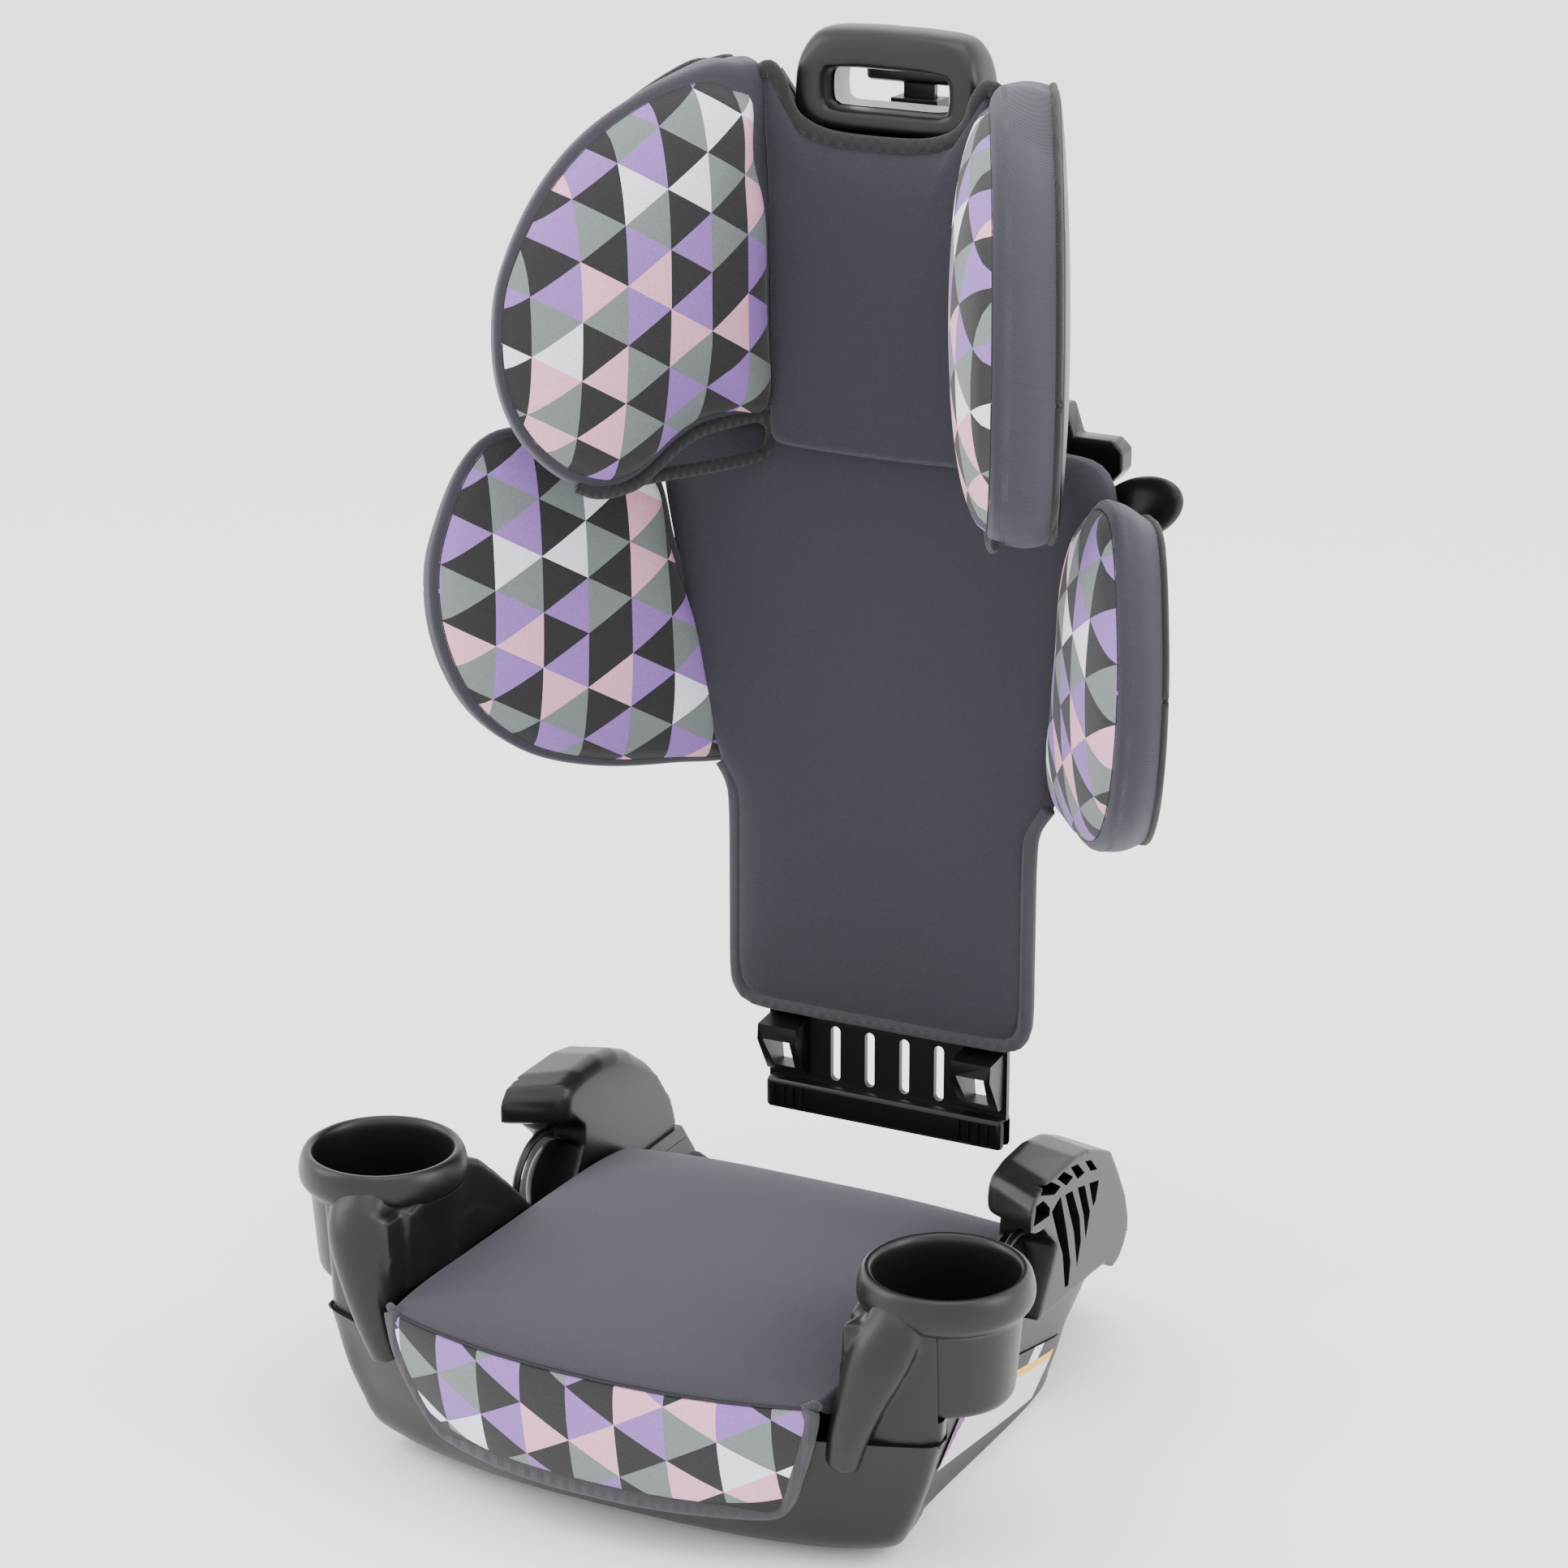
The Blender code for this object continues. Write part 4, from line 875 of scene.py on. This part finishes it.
ARM_IN, ARM_OUT = 0.1385, 0.1762
ARM_SIDE = ((0.0270, 0.1400), (0.0262, 0.1480), (0.0280, 0.1580), (0.0340, 0.1640), (0.0500, 0.1675),
            (0.0740, 0.1680), (0.0950, 0.1645), (0.1130, 0.1570), (0.1300, 0.1450), (0.1450, 0.1280),
            (0.1610, 0.1070), (0.1670, 0.0910), (0.1660, 0.0830), (0.1600, 0.0750), (0.1500, 0.0690),
            (0.1380, 0.0670), (0.1240, 0.0750), (0.0240, 0.0790), (0.0330, 0.0920), (0.0430, 0.1060),
            (0.0500, 0.1180), (0.0510, 0.1300), (0.0460, 0.1345), (0.0350, 0.1362))
ARM_CELLS = (
    ((0.0127, 0.1431), (0.0163, 0.1546), (0.0269, 0.1540), (0.0372, 0.1455), (0.0369, 0.1409)),
    ((0.0229, 0.1586), (0.0283, 0.1621), (0.0384, 0.1615), (0.0533, 0.1529), (0.0442, 0.1513), (0.0329, 0.1551)),
    ((0.0475, 0.1600), (0.0579, 0.1607), (0.0717, 0.1518), (0.0617, 0.1503)),
    ((0.0679, 0.1593), (0.0777, 0.1577), (0.0885, 0.1479), (0.0783, 0.1478)),
    ((0.0888, 0.1550), (0.0979, 0.1523), (0.1077, 0.1424), (0.0976, 0.1454)),
    ((0.0404, 0.1419), (0.0484, 0.1452), (0.0535, 0.1466), (0.0642, 0.1194), (0.0705, 0.0980), (0.0680, 0.0840),
     (0.0628, 0.0850), (0.0585, 0.1079), (0.0452, 0.1322)),
    ((0.0605, 0.1449), (0.0708, 0.1435), (0.0827, 0.1217), (0.0854, 0.1054), (0.0802, 0.0910), (0.0745, 0.1158)),
    ((0.0787, 0.1423), (0.0893, 0.1394), (0.0980, 0.1193), (0.0925, 0.1033), (0.0884, 0.1210)),
    ((0.0960, 0.1381), (0.1105, 0.1345), (0.1065, 0.1230), (0.1026, 0.1204)))
CELL_FLOOR = 0.1600
ARM_EYE_Y = 0.0300


def armrest(side, sign):
    """Hooked armrest, its front face turned outwards, webbed with thin ribs on the outer side."""
    bm = slab(ARM_SIDE, ARM_IN, ARM_OUT - 0.0006, sign)
    bmesh.ops.recalc_face_normals(bm, faces=bm.faces)
    for v in bm.verts:
        if abs(v.co.x) < ARM_IN + 0.001:
            continue
        if v.co.y < 0.060 and v.co.z > 0.129:
            v.co.y -= 0.0150
        if v.co.z > 0.150:
            v.co.z -= 0.0045
        if v.co.y > 0.130:
            v.co.y -= 0.22 * (v.co.y - 0.130)
    rim = [e for e in bm.edges if max(abs(v.co.x) for v in e.verts) < ARM_IN + 0.001
           and min(v.co.z for v in e.verts) > 0.130 and e.verts[0].co.y > 0.0]
    bmesh.ops.bevel(bm, geom=rim, offset=0.0085, segments=4, profile=0.5, affect="EDGES", material=-1)
    arm = fused(f"arm_{side}", bm, "base", f"armrest_{side}", 0.0014, 7, PLASTIC)
    cells = []
    for cell in ARM_CELLS:
        bm = slab(cell, CELL_FLOOR, ARM_OUT + 0.0100, sign)
        for v in bm.verts:
            if abs(v.co.x) < CELL_FLOOR + 0.001 and v.co.y < 0.060:
                v.co.y += 0.0080 * (1 - v.co.y / 0.060)
        cells.append(bm)
    carve(arm, cells)

    def dome(s, t):
        rho = 1 - t
        out = 0.0110 * math.sqrt(max(1 - rho * rho, 0.0)) - 0.005
        spot = Vector((ARM_EYE_Y, 0.1000)) + ray_at(TAU * s) * 0.0260 * rho
        return Vector((sign * (0.1550 + out), spot.x, spot.y))

    finish_mesh(f"arm_dome_{side}", formed(64, 20, dome), [PLASTIC], "base", smooth=60)
    spots = [Vector((ARM_EYE_Y, 0.0985)) + ray_at(TAU * i / 60) * 0.0300 for i in range(60)]
    ring = [Vector((sign * 0.1585, spot.x, spot.y)) for spot in spots]
    finish_mesh(f"arm_ring_{side}", tube_along(ring, 0.0024, 10, True), [PLASTIC], "base", smooth=0)
    return arm


LOBE_AT, LOBE_SIZE = Vector((0.1590, 0.1860, 0.5240)), Vector((0.0300, 0.0080, 0.0190))


def wing_lobe(side, sign):
    """Rounded plastic end of the lower wing's shell, standing out above the cloth."""
    def lobe(s, t):
        a, b = TAU * s, math.pi * (t - 0.5)
        x, z = LOBE_SIZE.x * math.cos(b) * math.cos(a), LOBE_SIZE.z * math.sin(b)
        return Vector((sign * (LOBE_AT.x + x), LOBE_AT.y + LOBE_SIZE.y * math.cos(b) * math.sin(a) - 0.25 * x,
                       LOBE_AT.z + z + 0.30 * x))
    bm = formed(48, 24, lobe)
    return finish_mesh(f"lower_wing_lobe_{side}", bm, [PLASTIC], "back", smooth=60)


CUP_X, CUP_Y = 0.1800, -0.1125
HUMP = ((-0.1500, 0.0800), (-0.1500, 0.1530), (-0.1100, 0.1640), (-0.0880, 0.1645), (-0.0700, 0.1560),
        (-0.0480, 0.1375), (-0.0265, 0.1180), (-0.0080, 0.0990), (0.0080, 0.0870), (0.0180, 0.0800))
FOOT = ((-0.1500, 0.0800), (-0.1300, 0.1300), (-0.0800, 0.1300), (-0.0300, 0.1000), (0.0000, 0.0800))
SHOE = ((0.1400, -0.1680), (0.1560, -0.1650), (0.1740, -0.1610), (0.1880, -0.1555), (0.1950, -0.1480),
        (0.1930, -0.1380), (0.1850, -0.1200), (0.1700, -0.1000), (0.1450, -0.0800))
FIN = ((0.1700, -0.1500, 0.1600), (0.1690, -0.1600, 0.1490), (0.1640, -0.1670, 0.1330),
       (0.1570, -0.1710, 0.1120), (0.1500, -0.1720, 0.0900), (0.1450, -0.1690, 0.0700))
FIN_SIZES = ((0.0165, 0.0090), (0.0175, 0.0105), (0.0180, 0.0115), (0.0165, 0.0115), (0.0135, 0.0105),
             (0.0100, 0.0080))
COLLAR = ((0.0870, 0.0445), (0.1150, 0.0445), (0.1380, 0.0455), (0.1520, 0.0475), (0.1560, 0.0480))
WELL = ((0.0978, 0.0400), (0.1500, 0.0437), (0.2000, 0.0445))


def cup_circle(sign, z, radius, angles):
    """Points round a cup's axis at one height."""
    return [Vector((sign * CUP_X + radius * math.cos(a), CUP_Y + radius * math.sin(a), z)) for a in angles]


def bracket(side, sign):
    """Front corner: a fin that runs up under the cup's lip, the cup's seat, and a hump behind it."""
    bm = slab(HUMP, 0.1390, 0.1580, sign)
    slab(FOOT, 0.1380, 0.1640, sign, bm)
    inner = [math.radians(90 + sign * 10 * k) for k in range(17)]
    stacked([cup_circle(sign, z, r, inner) for z, r in COLLAR], bm)
    levels = ((0.0800, 1.0), (0.0900, 1.0), (0.1540, 1.025))
    stacked([[Vector((sign * x * widen, y, z)) for x, y in SHOE] for z, widen in levels], bm)
    finger([(sign * x, y, z) for x, y, z in FIN], FIN_SIZES, bm)
    soft = fused(f"bracket_{side}", bm, "base", f"cup_bracket_{side}", 0.0018, 12, PLASTIC)
    round_well = [TAU * i / 72 for i in range(72)]
    return carve(soft, [stacked([cup_circle(sign, z, r, round_well) for z, r in WELL])], 50)


CUP_PROFILE = ((0.0000, 0.0985), (0.0330, 0.0985), (0.0375, 0.1005), (0.0392, 0.1060), (0.0412, 0.1300),
               (0.0424, 0.1460), (0.0430, 0.1500), (0.0448, 0.1512), (0.0470, 0.1530), (0.0486, 0.1560),
               (0.0492, 0.1600), (0.0487, 0.1650), (0.0472, 0.1700), (0.0455, 0.1724), (0.0436, 0.1731),
               (0.0418, 0.1722), (0.0406, 0.1690), (0.0398, 0.1600), (0.0388, 0.1300), (0.0366, 0.1080),
               (0.0350, 0.1032), (0.0300, 0.1016), (0.0000, 0.1014))
cup_curve = spline([(r, z, 0) for r, z in CUP_PROFILE], 130)


def cup(side, sign):
    """A cup turned from its profile."""
    def place(s, t):
        p = along_curve(cup_curve, t)
        a = TAU * s
        return Vector((sign * CUP_X + p.x * math.cos(a), CUP_Y + p.x * math.sin(a), p.y))

    bm = formed(96, 120, place)
    return finish_mesh(f"cup_{side}", bm, [PLASTIC], f"cup_{side}", f"cup_holder_{side}", smooth=60)


for side, sign in SIDES:
    armrest(side, sign)
    wing_lobe(side, sign)
    bracket(side, sign)
    cup(side, sign)


# ---- base ----
# plan outlines of the base by height, half of each, (x, y)
BASE_ROWS = (
    (-0.002, ((0, -0.1440), (0.060, -0.1430), (0.108, -0.1360), (0.133, -0.1260), (0.146, -0.1120),
              (0.150, -0.0970), (0.149, -0.0800), (0.148, -0.0600), (0.148, 0.0800), (0.133, 0.1350),
              (0.108, 0.1990), (0.085, 0.2110), (0, 0.2115))),
    (0.000, ((0, -0.1505), (0.060, -0.1495), (0.110, -0.1420), (0.138, -0.1300), (0.151, -0.1140),
             (0.154, -0.0970), (0.152, -0.0800), (0.150, -0.0600), (0.150, 0.0800), (0.135, 0.1350),
             (0.110, 0.2000), (0.085, 0.2120), (0, 0.2125))),
    (0.016, ((0, -0.1770), (0.060, -0.1745), (0.113, -0.1660), (0.150, -0.1550), (0.167, -0.1450),
             (0.166, -0.1240), (0.157, -0.0980), (0.152, -0.0700), (0.152, 0.0900), (0.137, 0.1400),
             (0.111, 0.2010), (0.085, 0.2125), (0, 0.2130))),
    (0.044, ((0, -0.1975), (0.060, -0.1925), (0.116, -0.1745), (0.160, -0.1590), (0.181, -0.1495),
             (0.176, -0.1270), (0.163, -0.0990), (0.156, -0.0710), (0.155, 0.1150), (0.142, 0.1520),
             (0.117, 0.2030), (0.088, 0.2135), (0, 0.2140))),
    (0.075, ((0, -0.2015), (0.060, -0.1965), (0.121, -0.1775), (0.168, -0.1620), (0.191, -0.1500),
             (0.184, -0.1280), (0.168, -0.1000), (0.161, -0.0720), (0.161, 0.1480), (0.152, 0.1780),
             (0.130, 0.2050), (0.090, 0.2140), (0, 0.2145))),
    (0.092, ((0, -0.2030), (0.060, -0.1985), (0.124, -0.1795), (0.172, -0.1640), (0.195, -0.1515),
             (0.189, -0.1290), (0.174, -0.1010), (0.166, -0.0720), (0.166, 0.1600), (0.158, 0.1850),
             (0.138, 0.2070), (0.095, 0.2148), (0, 0.2150))))


BASE_COUNT, BASE_PROUD = 300, 0.0006
SLOPE_TOP, SLOPE_FALL, SLOPE_FROM, SLOPE_LOW = 0.0855, 1.315, 0.1705, 0.026


def base_row(z, half):
    both = [(x, y, z) for x, y in half] + [(-x, y, z) for x, y in half[-2:0:-1]]
    return spline(both, BASE_COUNT, closed=True)


base_rings = [base_row(z, half) for z, half in BASE_ROWS]


def base_wall(i, k, proud):
    """Point i round the base at row share k, with the rear slope cut off its top."""
    row = min(int(k), len(base_rings) - 2)
    four = [base_rings[min(max(row + n, 0), len(base_rings) - 1)][i] for n in (-1, 0, 1, 2)]
    p = blended(*four, k - row)
    grow = 1 + proud / 0.17
    slope = SLOPE_TOP - SLOPE_FALL * max(p.y - SLOPE_FROM, 0.0)
    return Vector((p.x * grow, (p.y - 0.01) * grow + 0.01, min(max(p.z, 0.0), max(slope, SLOPE_LOW))))


def base_skin():
    """The lower shell's outer wall, 0.6 mm proud of its solid."""
    last = len(base_rings) - 1

    def place(s, t):
        p = base_wall(int(s * BASE_COUNT + 1e-6) % BASE_COUNT, t * last, BASE_PROUD)
        return p if t > 0.05 else Vector((p.x, p.y, 0.0012))

    return finish_mesh("base_outer_wall", formed(BASE_COUNT, 60, place), [PLASTIC], "base", smooth=50)


LABEL_CORNERS = ((-0.0640, 0.0190), (0.0705, 0.0045), (0.1080, 0.0310), (-0.0240, 0.0630))
LABEL_PROUD, BAND_TOP, BAND_LOW, CORNER_SHARE = 0.0014, 0.78, 0.62, 0.10


def label(side, sign):
    """Blank sticker on the base's flank: a pale field, an amber band and a violet corner."""
    flank = []
    for ring in base_rings:
        flank.append(sorted((p.y, p.x, p.z) for p in ring if p.x > 0.1 and -0.11 < p.y < 0.16))

    def place(s, t):
        a, b, c, d = (Vector(q) for q in LABEL_CORNERS)
        spot = a.lerp(b, s).lerp(d.lerp(c, s), t)
        xs = []
        for row in flank:
            k = next((i for i, q in enumerate(row) if q[0] > spot.x), len(row) - 1)
            (y0, x0, z), (y1, x1, _) = row[max(k - 1, 0)], row[k]
            f = (spot.x - y0) / (y1 - y0) if y1 != y0 else 0.0
            xs.append((z, mix(x0, x1, f)))
        k = next(i for i in range(1, len(xs)) if xs[i][0] >= spot.y or i == len(xs) - 1)
        f = (spot.y - xs[k - 1][0]) / (xs[k][0] - xs[k - 1][0])
        return Vector((sign * (mix(xs[k - 1][1], xs[k][1], f) + LABEL_PROUD), spot.x, spot.y))

    def ink(s, t):
        if t > BAND_TOP:
            return 3 if int(s * 9) % 3 else 0
        if t > BAND_LOW:
            return 2 if s < CORNER_SHARE else 1
        return 2 if s < CORNER_SHARE * (t / BAND_LOW) else 0

    bm = formed(72, 30, place, pick=ink)
    inks = [PAPER, AMBER, VIOLET, PLASTIC]
    return finish_mesh(f"label_{side}", bm, inks, "base", f"side_label_{side}")


for side, sign in SIDES:
    label(side, sign)
base_skin()
for node, body in (("base_shell", "base"), ("seat_deck", "base")):
    refined(node, body, PLASTIC, 0.0015, 3)
for node in ("back_hook_plate", "back_panel", "height_rack_left", "height_rack_right"):
    refined(node, "back", PLASTIC, 0.0010)
for node in ("headrest_shell", "headrest_front"):
    refined(node, "headrest", PLASTIC, 0.0010)
for side, sign in SIDES:
    refined(f"belt_guide_{side}", "headrest", GLOSSY, 0.0020, 3)
    refined(f"latch_bolt_{side}", f"bolt_{side}", STEEL, 0.0003)
    refined(f"hinge_bush_{side}", "base", NYLON, 0.0003)
refined("release_lever", "release", PLASTIC, 0.0010)
refined("hinge_bar", "pivot_bar", STEEL, 0.0004)
for i in range(1, 5):
    refined(f"deck_screw_{i}", "base", STEEL, 0.0003)
    refined(f"back_screw_{i}", "back", STEEL, 0.0003)
    refined(f"headrest_screw_{i}", "headrest", STEEL, 0.0003)


# ---- floor, light and view ----
def studio():
    bm = bmesh.new()
    bmesh.ops.create_grid(bm, x_segments=1, y_segments=1, size=6.0)
    mesh = bpy.data.meshes.new("floor")
    bm.to_mesh(mesh)
    bm.free()
    floor = bpy.data.objects.new("floor", mesh)
    bpy.context.scene.collection.objects.link(floor)
    floor.location = (0, 0, -0.0002)
    pale = Finish("pale_floor")
    pale.value("Base Color", (0.93, 0.93, 0.93, 1.0))
    pale.value("Roughness", 0.9)
    pale.value("Specular IOR Level", 0.1)
    mesh.materials.append(pale.material)
    floor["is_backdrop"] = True
    world = bpy.data.worlds.new("studio_air")
    world.use_nodes = True
    sky = world.node_tree.nodes["Background"]
    sky.inputs["Color"].default_value = (1.0, 1.0, 1.0, 1.0)
    sky.inputs["Strength"].default_value = 2.5
    bpy.context.scene.world = world

    def lamp(name, place, target, size, power):
        light = bpy.data.lights.new(name, "AREA")
        light.shape = "RECTANGLE"
        light.size, light.size_y = size
        light.energy = power
        lit = bpy.data.objects.new(name, light)
        bpy.context.scene.collection.objects.link(lit)
        lit.location = place
        aim = Vector(target) - Vector(place)
        lit.rotation_euler = aim.to_track_quat("-Z", "Y").to_euler()

    lamp("left_bank", (-1.9, -0.9, 1.5), (0, 0, 0.4), (1.0, 1.8), 26)
    lamp("right_bank", (2.1, 0.2, 1.3), (0, 0, 0.4), (1.0, 1.8), 30)
    lamp("top_bank", (0.2, -0.2, 2.6), (0, 0, 0.3), (1.8, 1.4), 22)
    lens = bpy.data.cameras.new("view")
    lens.lens = 102.5
    lens.sensor_width = 36.0
    camera = bpy.data.objects.new("view", lens)
    bpy.context.scene.collection.objects.link(camera)
    camera.location = (1.106, -2.1247, 1.2127)
    camera.rotation_euler = (math.radians(71), 0, math.radians(27))
    bpy.context.scene.camera = camera


studio()

low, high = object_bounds()
